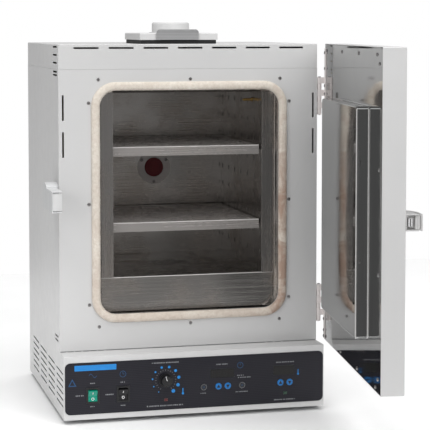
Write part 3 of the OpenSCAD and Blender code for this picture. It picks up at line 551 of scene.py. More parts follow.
def rounded_outline(w, h, r, n):
    """n points round a rounded rectangle with their outward normals and arc lengths."""
    sx, sz = w / 2 - r, h / 2 - r
    parts = []
    for q in range(4):
        straight = 2 * sz if q % 2 == 0 else 2 * sx
        parts += [("line", q, straight), ("arc", q, math.pi / 2 * r)]
    total = sum(p[2] for p in parts)
    starts = [(w / 2, -sz), (sx, h / 2), (-w / 2, sz), (-sx, -h / 2)]
    ways = [(0, 1), (-1, 0), (0, -1), (1, 0)]
    centres = [(sx, sz), (-sx, sz), (-sx, -sz), (sx, -sz)]
    out = []
    for i in range(n):
        s = total * i / n
        left = s
        for kind, q, length in parts:
            if left <= length or (kind == "arc" and q == 3):
                if kind == "line":
                    x = starts[q][0] + ways[q][0] * left
                    z = starts[q][1] + ways[q][1] * left
                    nx, nz = ways[q][1], -ways[q][0]
                else:
                    a = math.pi / 2 * q + left / r
                    nx, nz = math.cos(a), math.sin(a)
                    x, z = centres[q][0] + r * nx, centres[q][1] + r * nz
                out.append((x, z, nx, nz, s))
                break
            left -= length
    return out


def noise_at(p, scale):
    return noise.noise(Vector(p) * scale)


# ---------- gasket
def make_gasket():
    """A braided tube round the opening, flat against the fascia and a little lumpy along its length."""
    half = 9.75
    tall = 8.7
    tallest = 8.9       # the closed door leaves 9 mm
    braid = 5.2         # length of one crossing of the braid
    w, h = OPEN_W + 2 * half, OPEN_H + 2 * half
    count, around = 1300, 22
    bm = bmesh.new()
    rows = []
    for x, z, nx, nz, s in rounded_outline(w, h, OPEN_R + half, count):
        lump = 0.9 * noise_at((x, z, 3.0), 0.028) + 0.5 * noise_at((x, z, 9.0), 0.10)
        lean = 1.5 * noise_at((x, z, 40.0), 0.016)
        if x > w / 2 - 8:
            lump += 1.5 * math.exp(-((z + 15.0) / 26.0) ** 2) + 0.9 * math.exp(-((z + 120.0) / 60.0) ** 2)
        row = []
        for k in range(around):
            f = math.pi * k / (around - 1)
            u, v = math.cos(f), math.sin(f)
            grow = 0.0
            if 0 < k < around - 1:
                a = math.sin(2 * math.pi * (s / braid + 1.6 * f))
                b = math.sin(2 * math.pi * (s / braid - 1.6 * f))
                grow = 0.30 * max(a, b) + 0.55 * noise_at((x + u * 9, z, v * 9), 0.33)
                grow += 0.28 * noise_at((x + u * 11, z, v * 11 + 7), 0.9)
            r_u = half + 0.35 * lump + grow
            r_v = tall * (1 + 0.035 * lump) + grow
            du = r_u * math.copysign(abs(u) ** 0.88, u) + lean * v
            dv = min(r_v * (v ** 0.80 if v > 1e-9 else 0.0), tallest)
            row.append(bm.verts.new(((x + nx * du) * MM, (FRONT - 0.02 - dv) * MM,
                                     (OPEN_MID + z + nz * du) * MM)))
        rows.append(row)
    skin_round(bm, rows)
    from_bm("gasket_rope", bm, SLOT["gasket_fibre"], "cabinet", ("door_gasket",), 60)


# ---------- shelves
def shelf_holes(bm, z, x1, y0, depth):
    """Rows of holes, each in its own hexagon of sheet, some with a burr. Gives back the rim of the field."""
    pitch = 9.6
    hole = 2.6
    sides = 12
    row_step = pitch * math.sqrt(3) / 2
    corner = pitch / math.sqrt(3)
    made = {}

    def vert(x, y):
        key = (round(x, 2), round(y, 2))
        if key not in made:
            made[key] = bm.verts.new((x * MM, y * MM, z))
        return made[key]

    rows = int((depth - 30) / row_step)
    half_n = int((x1 - 13) / pitch)
    first_y = y0 + (depth - (rows - 1) * row_step) / 2
    for j in range(rows):
        odd = j % 2
        for i in range(-half_n, half_n + 1 - odd):
            cx, cy = i * pitch + odd * pitch / 2, first_y + j * row_step
            outer, rim_up, inner = [], [], []
            burr = random.random() < 0.34
            wide = hole + (0.35 if burr else 0.95)
            rise = random.uniform(0.45, 0.85) if burr else -random.uniform(0.3, 0.6)
            for k in range(sides):
                a = math.radians(30 * k + 30)
                c, s = math.cos(a), math.sin(a)
                reach = corner if k % 2 == 0 else corner * math.cos(math.radians(30))
                outer.append(vert(cx + reach * c, cy + reach * s))
                rim_up.append(bm.verts.new(((cx + wide * c) * MM, (cy + wide * s) * MM, z)))
                inner.append(bm.verts.new(((cx + hole * c) * MM, (cy + hole * s) * MM, z + rise * MM)))
            skin(bm, outer, rim_up)
            skin(bm, rim_up, inner)
    inner_set = set(bm.verts) - set(made.values())
    return [e for e in bm.edges if len(e.link_faces) == 1 and not all(v in inner_set for v in e.verts)]


def make_shelf(node, z_top):
    x1 = 174.0
    y0 = FRONT + 35.0
    depth = 350.0
    bend = 2.4
    gauge = 1.2
    relief = 1.6
    bm = bmesh.new()
    z = z_top * MM
    rim = shelf_holes(bm, z, x1, y0, depth)
    xa, xs = x1 - 0.4, x1 - bend
    ya0, ya1 = y0 + bend, y0 + depth - bend
    outline = [(-xa, ya0), (xa, ya0), (xa, ya0 + relief), (xs, ya0 + relief), (xs, ya1 - relief),
               (xa, ya1 - relief), (xa, ya1), (-xa, ya1), (-xa, ya1 - relief),
               (-xs, ya1 - relief), (-xs, ya0 + relief), (-xa, ya0 + relief)]
    edge = [bm.verts.new((x * MM, y * MM, z)) for x, y in outline]
    edges = [bm.edges.new((edge[i], edge[(i + 1) % len(edge)])) for i in range(len(edge))]
    bmesh.ops.triangle_fill(bm, use_beauty=True, use_dissolve=False, edges=rim + edges)

    def lip(a, b, way, length):
        """A strip from plate edge a-b, round the bend and down."""
        prev = (a, b)
        steps = 5
        for s in range(1, steps + 1):
            f = math.pi / 2 * s / steps
            dx, dz = bend * math.sin(f), bend * (1 - math.cos(f))
            cur = tuple(bm.verts.new((v.co.x + way[0] * dx * MM, v.co.y + way[1] * dx * MM, z - dz * MM))
                        for v in (a, b))
            bm.faces.new((prev[0], prev[1], cur[1], cur[0]))
            prev = cur
        cur = tuple(bm.verts.new((v.co.x, v.co.y, z - length * MM)) for v in prev)
        bm.faces.new((prev[0], prev[1], cur[1], cur[0]))

    for first, way, length in ((0, (0, -1), 22.0), (3, (1, 0), 12.0), (6, (0, 1), 12.0), (9, (-1, 0), 12.0)):
        lip(edge[first], edge[first + 1], way, length)
    bmesh.ops.recalc_face_normals(bm, faces=bm.faces)
    if sum(f.normal.z * f.calc_area() for f in bm.faces) < 0:
        bmesh.ops.reverse_faces(bm, faces=bm.faces)
    name = node + "_sheet"
    o = put_object(name, mesh_from(name, bm), SLOT["shelf_steel"], node, (node,), 40)
    thicken(o, gauge)
    even_normals(o, 75)
    # painted highlight on the bend along the shelf's front lip
    front = (y0 + bend) * MM
    highlight_bends(o, lambda n, c: c.y < front and n.y < -0.12 and n.z > 0.05)


# ---------- chamber with its pressed mouth
def outline_points(w, h, r, per_corner=10):
    pts = []
    for cx, cz, a0 in ((1, -1, -90), (1, 1, 0), (-1, 1, 90), (-1, -1, 180)):
        for i in range(per_corner + 1):
            a = math.radians(a0 + 90.0 * i / per_corner)
            pts.append((cx * (w / 2 - r) + r * math.cos(a), cz * (h / 2 - r) + r * math.sin(a)))
    return pts


def chamber_sections():
    """Each is (y behind the front, inset of the sides, of the top, of the bottom, corner radius)."""
    mouth = [(1.5, -32.0, -36.0, -36.0, 30.0), (1.5, -0.9, -0.9, -0.9, OPEN_R + 0.9),
             (1.8, -0.25, -0.25, -0.25, OPEN_R + 0.25), (2.6, 0.0, 0.0, 0.0, OPEN_R),
             (5.5, 0.0, 0.0, 0.0, OPEN_R)]
    for i in range(1, 9):
        f = i / 8
        e = f * f * (3 - 2 * f)
        mouth.append((5.5 + 14.0 * f, 6.0 * e, 6.0 * e, 0.0, OPEN_R * (1 - e) + 7.0 * e))
    walls = [(y, 6.0, 6.0, 0.0, 7.0) for y in (24.0, 60.0, 150.0, 260.0, 360.0, 392.0)]
    rear = [(397.5, 6.6, 6.6, 0.6, 6.4), (399.6, 8.6, 8.6, 2.6, 4.4), (400.0, 12.0, 12.0, 6.0, 3.0)]
    return mouth + walls + rear


def chamber_cuts():
    """Rods where the port, exhaust, fan shaft and heater ends pass through the liner."""
    cut = bmesh.new()
    rods = [(0, LINER_BACK, PORT_Z, 26.0, "Y"), (*EXHAUST, CEILING, 38.3, "Z"),
            (0, FRONT + 220, OPEN_Z, 10, "Z")]
    rods += [(x, LINER_BACK, z, 5.5, "Y") for x in (-18.2, 18.2) for z in (257, 283)]
    for x, y, z, r, along in rods:
        turn = Matrix.Identity(4) if along == "Z" else Matrix.Rotation(math.pi / 2, 4, "X")
        place = Matrix.Translation(Vector((x, y, z)) * MM) @ turn
        bmesh.ops.create_cone(cut, cap_ends=True, segments=40, radius1=r * MM, radius2=r * MM,
                              depth=24 * MM, matrix=place)
    return cut


def make_chamber():
    bm = bmesh.new()
    rows = []
    for y, side, top, bottom, r in chamber_sections():
        mid = OPEN_MID + (bottom - top) / 2
        outline = outline_points(OPEN_W - 2 * side, OPEN_H - top - bottom, r)
        rows.append([bm.verts.new((x * MM, (FRONT + y) * MM, (mid + z) * MM)) for x, z in outline])
    for p, q in zip(rows, rows[1:]):
        skin(bm, p, q)
    bm.faces.new(rows[-1])
    bmesh.ops.recalc_face_normals(bm, faces=bm.faces)
    inward = sum((f.normal.x * -f.calc_center_median().x) * f.calc_area() for f in bm.faces)
    if inward < 0:
        bmesh.ops.reverse_faces(bm, faces=bm.faces)
    o = put_object("chamber_shell", mesh_from("chamber_shell", bm), SLOT["chamber_steel"], "cabinet",
                   ("chamber_liner",), 40)
    thicken(o, 1.1)
    cut_away(o, chamber_cuts())
    even_normals(o, 40)


# ---------- screws
def screw_head():
    """One pan head with a cross recess, head up on the XY plane, shank below. Millimetres."""
    shank, height = 1.9, 2.25
    profile = [(1.3, 2.2), (2.4, 1.98), (3.2, 1.5), (3.75, 0.85), (4.0, 0.25),
               (3.95, 0.0), (shank, 0.0), (shank, -1.4)]
    n = 20
    bm = bmesh.new()
    rows = [[bm.verts.new((x, y, h)) for x, y in disc(0, 0, r, n)] for r, h in profile]
    top = bm.verts.new((0, 0, height))
    for i in range(n):
        bm.faces.new((top, rows[0][i], rows[0][(i + 1) % n]))
    for p, q in zip(rows, rows[1:]):
        skin(bm, q, p)
    bm.faces.new(list(reversed(rows[-1])))
    bmesh.ops.recalc_face_normals(bm, faces=bm.faces)
    o = linked("screw_head", mesh_from("screw_head", bm))
    cut_away(o, cross_recess())
    me = o.data
    bpy.data.objects.remove(o)
    return me


def cross_recess():
    """A cross that narrows to half its size at its floor."""
    cut = bmesh.new()
    star = []
    for q in range(4):
        a = math.pi / 2 * q
        for x, y in ((0.42, 2.0), (-0.42, 2.0), (-0.42, 0.42)):
            star.append((x * math.cos(a) - y * math.sin(a), x * math.sin(a) + y * math.cos(a)))
    floor_row = [cut.verts.new((x * 0.5, y * 0.5, 0.75)) for x, y in star]
    mouth_row = [cut.verts.new((x, y, 2.6)) for x, y in star]
    cut.faces.new(list(reversed(floor_row)))
    cut.faces.new(mouth_row)
    skin(cut, floor_row, mouth_row)
    bmesh.ops.recalc_face_normals(cut, faces=cut.faces)
    return cut


def make_screws(name, spots, body, node, door=False):
    """Copies of one screw, each turned at random. spots are (place in mm, direction the head faces)."""
    one = screw_head()
    bm = bmesh.new()
    for place, way in spots:
        turn = Vector((0, 0, 1)).rotation_difference(Vector(way)).to_matrix().to_4x4()
        spin = Matrix.Rotation(random.uniform(0, math.pi), 4, "Z")
        copy = bmesh.new()
        copy.from_mesh(one)
        bmesh.ops.transform(copy, verts=copy.verts,
                            matrix=Matrix.Translation(Vector(place) * MM) @ turn @ spin @ Matrix.Scale(MM, 4))
        me = mesh_from("screw_copy", copy)
        bm.from_mesh(me)
        bpy.data.meshes.remove(me)
    from_bm(name, bm, SLOT["screw_steel"], body, (node,), 35, door)


def make_all_screws():
    ahead, behind, left, right = (0, -1, 0), (0, 1, 0), (-1, 0, 0), (1, 0, 0)
    port_ring = 36.5
    fascia = [(x, z) for x in (-214, 0, 214) for z in (209, 773)]
    fascia += [(x, z) for x in (-236.5, 236.5) for z in (260, 490, 720)]
    rear = [(x, z) for x in (-292, 0, 292) for z in (780, 22)]
    rear += [(x, z) for x in (-292, 292) for z in (170, 370, 575)]
    spots = [((x, FRONT, z), ahead) for x, z in fascia]
    for a in (math.radians(d) for d in (30, 150, 270)):
        spots.append(((port_ring * math.cos(a), LINER_BACK - 1.2, PORT_Z + port_ring * math.sin(a)), ahead))
    spots += [((-309, FRONT + 69, 505.5 + dz), left) for dz in (-12, 12)]
    spots += [((307, FRONT + 30, z + 14.6 * (1 + 2 * i)), right) for z in (199, 687) for i in range(3)]
    spots += [((x, BACK, z), behind) for x, z in rear]
    make_screws("cabinet_screw_set", spots, "cabinet", "cabinet_screws")
    spots = [((285 - 180 * i, DOOR_IN, z), behind) for i in range(4) for z in (837, 166)]
    spots += [((-277, DOOR_IN, 186 + 211 * i), behind) for i in range(4)]
    spots += [((297.5, DOOR_IN + 2, z), behind) for z in (166, 180, 206, 736, 755, 795, 832)]
    make_screws("door_screw_set", spots, "door", "door_screws", True)


# ---------- printed panel
PRINT = 0.14  # thickness of the printed marks
# x, z, width and height of each caption
CAPTIONS = (
    (-73, 131, 62, 2.6), (-74, 32.3, 84, 2.8), (60, 120.5, 26, 2.6), (211.5, 118, 44, 2.4),
    (104, 92.5, 16, 2.2), (113, 87.5, 30, 2.2), (210.5, 30.5, 52, 2.6), (16.5, 55.5, 14, 2.2),
    (107.5, 54.5, 30, 2.2), (-269, 65.5, 20, 2.6), (-201, 65, 20, 2.6), (-240.5, 92.5, 11, 2.4),
    (-171, 91.5, 11, 2.4), (-240.5, 39.5, 11, 2.4), (-171, 38.5, 11, 2.4))


def flat(name, shapes, material, body="cabinet", y=FILM, thick=PRINT):
    """Thin printed shapes standing on the panel at y."""
    bm = bmesh.new()
    for shape in shapes:
        solid(bm, shape, y - thick, y + 0.02)
    from_bm(name, bm, material, body, (), 30)


def dashes(cx, cz, w, h, seed):
    """A short row of plain dashes in place of a caption."""
    rnd = random.Random(seed)
    out, x = [], cx - w / 2
    while x < cx + w / 2 - 1.5:
        step = rnd.uniform(1.5, 3.2)
        out.append(rect(x, min(x + step, cx + w / 2), cz - h / 2, cz + h / 2))
        x += step + (0.9 if rnd.random() < 0.8 else 2.4)
    return out


def digit_strokes(cx, cz, w, h):
    """The seven strokes of one unlit digit."""
    t = w * 0.17
    x0, x1, z0, z1 = cx - w / 2, cx + w / 2, cz - h / 2, cz + h / 2
    level = [rect(x0 + t, x1 - t, z, z + t) for z in (z0, cz - t / 2, z1 - t)]
    spans = ((z0 + t / 2, cz - t / 2), (cz + t / 2, z1 - t / 2))
    return level + [rect(x, x + t, low, high) for x in (x0, x1 - t) for low, high in spans]


def blue_marks():
    """Dots that grow round the knob, and two thermometers."""
    marks = []
    for i in range(10):
        a = math.radians(-122 - 32.6 * i)
        marks.append(disc(KNOB_X + 31 * math.cos(a), KNOB_Z + 31 * math.sin(a), 1.3 + 0.33 * i))
    for x, z, k in ((-32, 61.5, 0.9), (242.5, 92, 0.75)):
        marks.append(disc(x, z - 3.5, 3.0 * k))
        marks.append(rect(x - 1.2 * k, x + 1.2 * k, z - 2, z + 10 * k, 1.1 * k))
    return marks


def faint_marks():
    """A wave, a clock and a timer ring with its hand."""
    wave = [(-249 + 18 * i / 12, 109.5 + 4.2 * math.sin(2 * math.pi * i / 12)) for i in range(13)]
    marks = [[(xa, za - 0.7), (xb, zb - 0.7), (xb, zb + 0.7), (xa, za + 0.7)]
             for (xa, za), (xb, zb) in zip(wave, wave[1:])]
    marks += [ring(-171, 110, 6.2, 7.4), rect(-171.6, -170.4, 110, 114.6), rect(-171, -167.4, 109.4, 110.6)]
    marks += [ring(103.5, 116, 6.0, 7.2), rect(102.9, 104.1, 116, 120.4)]
    return marks


def dial_ticks():
    half = 0.55
    ticks = []
    for i in range(21):
        a = math.radians(-122 - 14.7 * i)
        c, s = math.cos(a), math.sin(a)
        r0, r1 = (21.5, 24.5) if i % 2 == 0 else (22.5, 24.2)
        corners = ((r0, half), (r0, -half), (r1, -half), (r1, half))
        ticks.append([(KNOB_X + r * c - o * s, KNOB_Z + r * s + o * c) for r, o in corners])
    return ticks


def make_windows():
    """Windows in front of the display and lamp blocks."""
    glass = FILM + 0.12
    for i, (cx, cz, w, h) in enumerate(DISPLAYS, 1):
        bm = bmesh.new()
        half_w, half_h = w / 2 - 0.2, h / 2 - 0.2
        solid(bm, rect(cx - half_w, cx + half_w, cz - half_h, cz + half_h, 0.8), glass, glass + 0.16)
        from_bm(f"display_lens_{i}", bm, LENS_DARK, "cabinet", (), 30)
        strokes = []
        for k in range(4):
            strokes += digit_strokes(cx - w / 2 + w * (k + 0.5) / 4, cz, w * 0.13, h * 0.62)
        flat(f"display_digits_{i}", strokes, DIGIT, "cabinet", glass, 0.05)
    for name, x, material in (("lamp_lens_limit", -71.5, LENS_RED), ("lamp_lens_heat", 211.5, LENS_GREEN)):
        bm = bmesh.new()
        solid(bm, rect(x - 4, x + 4, LAMP_Z - 3, LAMP_Z + 3, 1.2), FILM - 0.5, FILM + 0.15)
        round_edges(from_bm(name, bm, material, "cabinet", (), 30), 0.4, 3)


def make_panel():
    flat("panel_band", [rect(-281.5, -186, 121.4, 134.0, 1.2)], INK["blue"])
    captions = []
    for seed, place in enumerate(CAPTIONS, 1):
        captions += dashes(*place, seed)
    flat("panel_captions", captions, INK["pale"])
    flat("panel_blue_marks", blue_marks(), INK["blue"])
    flat("panel_faint_marks", faint_marks(), INK["dark_blue"])
    triangle = ([(-292.2, 89.3), (-280.8, 89.3), (-286.5, 99.9)],
                [(-296.0, 87.0), (-277.0, 87.0), (-286.5, 104.5)])
    flat("panel_triangle", [triangle], INK["dark_blue"])
    flat("dial_ticks", dial_ticks(), INK["grey"])
    make_windows()


def make_keys():
    face = FILM - 1.0
    profile = [(0.001, -1.0), (4.6, -1.0), (6.4, -0.95), (7.1, -0.75), (7.45, -0.35), (7.5, 0.1), (7.5, 2.2),
               (2.0, 2.2), (2.0, 5.4), (0.001, 5.4)]
    for node, (x, z) in KEYS.items():
        slot = NODE_SLOT[node]
        bm = bmesh.new()
        lathe(bm, profile, (x, FILM, z), 48, "Y")
        bmesh.ops.remove_doubles(bm, verts=bm.verts, dist=3e-6)
        from_bm(node + "_cap", bm, SLOT[slot], node, (node,), 35)
        if "mode" in node or "start" in node:
            flat(node + "_ring", [ring(x, z, 5.9, 6.7)], INK["pale"], node, face + 0.05, PRINT)
            flat(node + "_mark", [ring(x, z, 1.3, 2.1)], INK["dark_blue"], node, face, 0.10)
        else:
            s = 1 if "up" in node else -1
            arrow = [(x - 4.3, z - 3.0 * s), (x + 4.3, z - 3.0 * s), (x, z + 4.6 * s)]
            flat(node + "_arrow", [arrow], INK["dark"], node, face, 0.10)


def make_rockers():
    """Each rocker has a bar on its upper half and a ring on its lower half."""
    marks = ((1, "bar", rect(-0.7, 0.7, -2.6, 2.6, 0.3)), (-1, "ring", ring(0, 0, 2.1, 3.3, 32)))
    tilt = Matrix.Rotation(math.radians(9), 4, "X")
    for node, x in SWITCHES:
        refine(node, 0.5, segments=3)
        origin = Vector((x, FILM + 7.0, SWITCH_Z))
        for sign, kind, shape in marks:
            tip = Vector((0, -10.0, 12.2 * sign))
            waist = Vector((0, -6.4, 0.0))
            mid = tip * 0.55 + waist * 0.45
            v = (tip - waist).normalized() * sign
            u = Vector((1, 0, 0))
            n = u.cross(v)
            if n.y > 0:
                n = -n
            bm = bmesh.new()
            solid(bm, shape, -0.16, 0.05)
            # local x, y (depth), z go to u, -n, v on the tilted face
            basis = Matrix((u, -n, v)).transposed().to_4x4()
            m = Matrix.Translation(origin * MM) @ tilt @ Matrix.Translation(mid * MM) @ basis
            bmesh.ops.transform(bm, matrix=m, verts=bm.verts)
            from_bm(f"{node}_{kind}", bm, INK["white"], node, (), 30)


def make_knob():
    refine("limit_knob", 0.35, segments=2)
    cap = FILM - 16.6
    bm = bmesh.new()
    solid(bm, rect(-0.62, 0.62, 1.5, 12.2, 0.3), cap - 0.12, cap + 0.9)
    turn = Matrix.Rotation(math.radians(-14), 4, "Y")
    place = Matrix.Translation(Vector((KNOB_X, 0, KNOB_Z)) * MM)
    bmesh.ops.transform(bm, verts=bm.verts, matrix=place @ turn)
    from_bm("limit_knob_pointer", bm, INK["white"], "limit_knob", (), 30)


# ---------- exhaust collar, wool, other custom pieces
def make_collar():
    profile = [(42.5, 878.0), (42.5, 896.0), (41.6, 899.2), (39.8, 901.4), (38.9, 902.2), (39.6, 902.9),
               (41.0, 902.6), (42.9, 901.2), (44.0, 898.2), (44.0, 881.6), (44.3, 880.2), (45.2, 879.6),
               (49.4, 879.5), (50.0, 879.2), (50.0, 878.0)]
    bm = bmesh.new()
    lathe(bm, profile, (*EXHAUST, 0), 96, "Z")
    from_bm("exhaust_collar_spun", bm, SLOT["painted_sheet"], "cabinet",
            ("exhaust_collar",), 40)


def make_wool(node, radius):
    """A batt with soft edges and an uneven surface, which only ever lies inside its CAD shape."""
    body, slot = NODE_BODY[node], NODE_SLOT[node]
    name = node + "_batts"
    longest = 0.030
    deepest = 0.0016
    o = put_object(name, mesh_from(name, cad_bm(node)), SLOT[slot], body, (node,), None)
    round_edges(o, radius, 3)
    apply_modifiers(o)
    bm = bmesh.new()
    bm.from_mesh(o.data)
    for _ in range(9):
        long = [e for e in bm.edges if e.calc_length() > longest]
        if not long:
            break
        bmesh.ops.subdivide_edges(bm, edges=long, cuts=1)
        bmesh.ops.triangulate(bm, faces=[f for f in bm.faces if len(f.verts) > 4])
    bm.normal_update()
    for v in bm.verts:
        k = 0.5 + 0.5 * noise.noise(v.co * 34) + 0.25 * noise.noise(v.co * 120)
        v.co -= v.normal * (deepest * max(0.0, k))
    bm.to_mesh(o.data)
    bm.free()
    o.data.shade_smooth()


def crown_plug(o, rise):
    """The pressed plug face stands a little proud in its middle."""
    half_x, half_z = 191.0, 240.5
    border = 4.0
    cells = 12
    bm = bmesh.new()
    bm.from_mesh(o.data)
    bmesh.ops.transform(bm, matrix=DOOR_BACK, verts=bm.verts)
    face_y = max(v.co.y for v in bm.verts)
    for axis, mid, half in ((0, PLUG_X, half_x), (2, PLUG_Z, half_z)):
        for i in range(1, cells):
            co, no = [0.0, 0.0, 0.0], [0.0, 0.0, 0.0]
            co[axis], no[axis] = (mid - half + 2 * half * i / cells) * MM, 1.0
            faces = [f for f in bm.faces if all(abs(v.co.y - face_y) < 4e-5 for v in f.verts)]
            verts = list({v for f in faces for v in f.verts})
            edges = list({e for f in faces for e in f.edges})
            bmesh.ops.bisect_plane(bm, geom=verts + edges + faces, dist=1e-6, plane_co=co, plane_no=no)
    for v in bm.verts:
        if v.co.y > face_y - 1.3 * MM:
            u = max(-1.0, min(1.0, (v.co.x / MM - PLUG_X) / (half_x - border)))
            w = max(-1.0, min(1.0, (v.co.z / MM - PLUG_Z) / (half_z - border)))
            v.co.y += rise * MM * (1 - u * u) * (1 - w ** 4)
    bmesh.ops.transform(bm, matrix=DOOR, verts=bm.verts)
    bm.to_mesh(o.data)
    bm.free()
    even_normals(o, 35)


# ---------- edge tests for refine
def near(v, w):
    return abs(v - w) < 0.05


def both(i, value):
    """Both ends of an edge lie at this value on axis i."""
    return lambda a, b: near(a[i], value) and near(b[i], value)


def outer_x(a, b):
    return near(abs(a[0]), SIDE) and near(a[0], b[0])


def along_z(a, b):
    return near(a[0], b[0]) and near(a[1], b[1])


def upright_at(x, y):
    return lambda a, b: near(abs(a[0]), x) and near(a[0], b[0]) and both(1, y)(a, b)


def on_cap_seam(a, b):
    return a[2] > CAP_SEAM and b[2] > CAP_SEAM


def front_or_back(a, b):
    return both(1, FRONT)(a, b) or both(1, BACK)(a, b)


def door_top_or_foot(a, b):
    return both(2, TOP)(a, b) or both(2, DOOR_FOOT)(a, b)


def round_plug(a, b):
    """The foot of the raised plug, on the door's inner sheet."""
    inside = all(abs(p[0] - PLUG_X) < 196 and abs(p[2] - PLUG_Z) < 245 for p in (a, b))
    return inside and both(1, DOOR_IN)(a, b)


def beside_collar(p):
    return max(abs(p[0] - EXHAUST[0]), abs(p[1] - EXHAUST[1])) < 60


# ---------- build
make_gasket()
make_shelf("upper_shelf", 617.0)
make_shelf("lower_shelf", 442.0)
make_chamber()
make_all_screws()
make_panel()
make_keys()
make_rockers()
make_knob()
make_collar()
make_wool("cabinet_insulation", 4)
make_wool("door_insulation", 5)


SEAM = 0.95  # radius of the edges that meet at the cap's seam
FOLD = 2.2  # outer radius of a folded corner
refine("top_cap", 0.4, [
    (both(2, 796.0), SEAM),
    (both(2, 797.5), 0.5),
    (lambda a, b: both(2, TOP)(a, b) and (outer_x(a, b) or front_or_back(a, b)), FOLD),
    (lambda a, b: outer_x(a, b) and front_or_back(a, b), FOLD)], 3)
refine("front_fascia", 0.4, [(lambda a, b: both(1, FRONT)(a, b) and on_cap_seam(a, b), SEAM)])
for name in ("left_side_panel", "right_side_panel"):
    refine(name, 0.45, [(lambda a, b: on_cap_seam(a, b) and abs(a[1] - b[1]) > 100, SEAM)])
refine("base_front", 0.4, [(lambda a, b: both(1, PANEL)(a, b) and both(2, LEDGE)(a, b), 1.0)], 3)
# painted highlight on the rolled top edge of the floor cover
highlight_bends(
    refine("floor_cover", 0.3, [(lambda a, b: both(1, FRONT + 22.0)(a, b) and both(2, 318.0)(a, b), 2.0)], 4),
    lambda n, c: n.y < -0.1 and n.z > 0.1 and c.z > 0.31)
# painted highlight on the rolled front edges of the duct returns
for name in ("left_duct_wall", "right_duct_wall"):
    highlight_bends(
        refine(name, 0.2, [(upright_at(178.0, FRONT + 20.6), 2.0), (upright_at(179.2, FRONT + 21.8), 0.8)],
               4, material=UPRIGHT_STEEL),
        lambda n, c: abs(n.x) > 0.1 and n.y < -0.1 and abs(c.x) < 0.181)
refine("exhaust_plate", 0.4, [
    (lambda a, b: both(2, 878.0)(a, b) and not beside_collar(a), 3.0),
    (lambda a, b: along_z(a, b) and abs(a[2] - b[2]) > 8, 3.0)], 4)
refine("fan_wheel", 0.2, clamp=True)
refine("door_shell", 0.4, [
    (lambda a, b: both(1, DOOR_OUT)(a, b) and (outer_x(a, b) or door_top_or_foot(a, b)), FOLD),
    (lambda a, b: outer_x(a, b) and door_top_or_foot(a, b), FOLD)], 3)

DOOR_LINER = refine("door_liner", 0.3, [
    (both(1, PLUG_FACE), 3.4),
    (both(1, PLUG_FACE - 1.2), 2.3),
    (round_plug, 2.8)], 5)
crown_plug(DOOR_LINER, 1.6)
TURN_BACK = DOOR_BACK.to_3x3()
# painted highlight on the plug's rounded edges
highlight_bends(DOOR_LINER,
             lambda n, c: 0.25 < (TURN_BACK @ n).y < 0.97 and (TURN_BACK @ n).x < -0.2 and abs(n.z) < 0.3,
             DOOR_BEND_HIGHLIGHT_STEEL)

# nodes whose edges are all rounded alike: radius, segments, names
ALIKE = (
    (0.15, 2, ("control_overlay",)),
    (0.2, 2, ("display_board",)),
    (0.3, 2, ("deck_plate", "port_sleeve", "exhaust_duct", "temperature_probe")),
    (0.35, 2, ("exhaust_damper", "cabinet_hinge_leaves", "door_hinge_leaves")),
    (0.4, 2, ("rear_panel", "bottom_pan", "shelf_clips", "hinge_pins", "power_board")),
    (0.5, 2, ("strike_keeper", "mains_inlet", "limit_thermostat", "fan_shaft", "latch_pin")),
    (0.5, 3, ("power_switch_body", "aux_switch_body")),
    (0.7, 3, ("latch_housing",)),
    (0.8, 2, ("fan_motor",)),
    (1.1, 3, ("strike_frame", "latch_handle")),
    (1.2, 4, ("latch_bolt",)),
    (1.4, 3, ("exhaust_gasket",)),
    (1.5, 3, ("rubber_feet",)),
    (1.6, 4, ("port_stopper",)))
for radius, segments, names in ALIKE:
    for name in names:
        refine(name, radius, segments=segments)

# CAD nodes that are shown as they are
for name, o in NODES.items():
    if not o.hide_render:
        if not o.material_slots:
            o.data.materials.append(SLOT[NODE_SLOT[name]])
        for s in o.material_slots:
            s.material = SLOT[NODE_SLOT[name]]


# ---------- floor, light, camera
def make_floor():
    bm = bmesh.new()
    bmesh.ops.create_grid(bm, x_segments=8, y_segments=8, size=1.0,
                          matrix=Matrix.Translation((0, 0.45, 0)) @ Matrix.Diagonal((3.2, 1.5, 1, 1)))
    m = Mat("floor_pale")
    m.put("Base Color", m.mix(m.ranged(m.noise(3, 3), 0.3, 0.7), (0.93, 0.93, 0.93), (0.95, 0.95, 0.95)))
    m.put("Roughness", 0.9)
    m.put("Specular IOR Level", 0.1)
    floor = linked("floor", mesh_from("floor", bm))
    floor.data.materials.append(m.m)


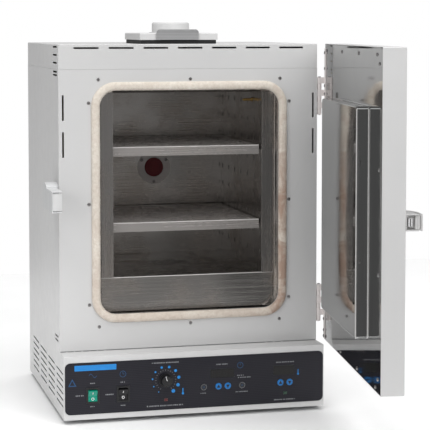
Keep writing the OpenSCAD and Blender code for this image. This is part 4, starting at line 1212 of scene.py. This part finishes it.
def make_world():
    """White where the camera sees it, and dimmer where it lights the object."""
    lit, seen = 0.26, 1.0
    world = bpy.data.worlds.new("studio")
    SCENE.world = world
    world.use_nodes = True
    tree = world.node_tree
    tree.nodes.clear()
    mix = tree.nodes.new("ShaderNodeMixShader")
    tree.links.new(tree.nodes.new("ShaderNodeLightPath").outputs["Is Camera Ray"], mix.inputs[0])
    for i, strength in ((1, lit), (2, seen)):
        white = tree.nodes.new("ShaderNodeBackground")
        white.inputs["Color"].default_value = (1, 1, 1, 1)
        white.inputs["Strength"].default_value = strength
        tree.links.new(white.outputs[0], mix.inputs[i])
    tree.links.new(mix.outputs[0], tree.nodes.new("ShaderNodeOutputWorld").inputs[0])


def area(name, place, aim, size, power, mirrored=True):
    """An area light. One that isn't mirrored lights the object but shows in no reflection."""
    d = bpy.data.lights.new(name, "AREA")
    d.shape = "RECTANGLE"
    d.size, d.size_y = size
    d.energy = power
    o = linked(name, d)
    o.location = place
    o.rotation_euler = (Vector(aim) - Vector(place)).to_track_quat("-Z", "Y").to_euler()
    o.visible_glossy = mirrored


def make_camera():
    d = bpy.data.cameras.new("camera")
    d.sensor_width = 36.0
    d.lens = 135.8
    d.shift_x, d.shift_y = -0.00105, -0.1873
    d.clip_start, d.clip_end = 0.1, 60.0
    camera = linked("camera", d)
    camera.location = (-0.8636, -3.8661, 0.8931)
    camera.rotation_euler = (math.radians(86.19), 0.0, math.radians(-14.32))
    SCENE.camera = camera


make_floor()
make_world()
area("key", (1.0, -3.3, 2.2), (0, -0.25, 0.5), (2.2, 1.8), 42, False)
area("fill_left", (-2.6, -2.6, 1.8), (0, -0.2, 0.6), (1.8, 1.8), 17, False)
area("top", (0.0, 0.2, 6.5), (0, 0.2, 0.0), (8.0, 8.0), 470, False)
area("strip_left", (-2.8, -2.4, 0.9), (0, -0.3, 0.5), (1.1, 2.2), 14)
area("strip_right", (2.4, -3.2, 1.0), (0, -0.3, 0.5), (1.1, 2.2), 14)
area("strip_top", (0.0, -2.6, 3.0), (0, -0.3, 0.6), (3.0, 1.4), 24)
make_camera()
SCENE.view_settings.view_transform = "Standard"
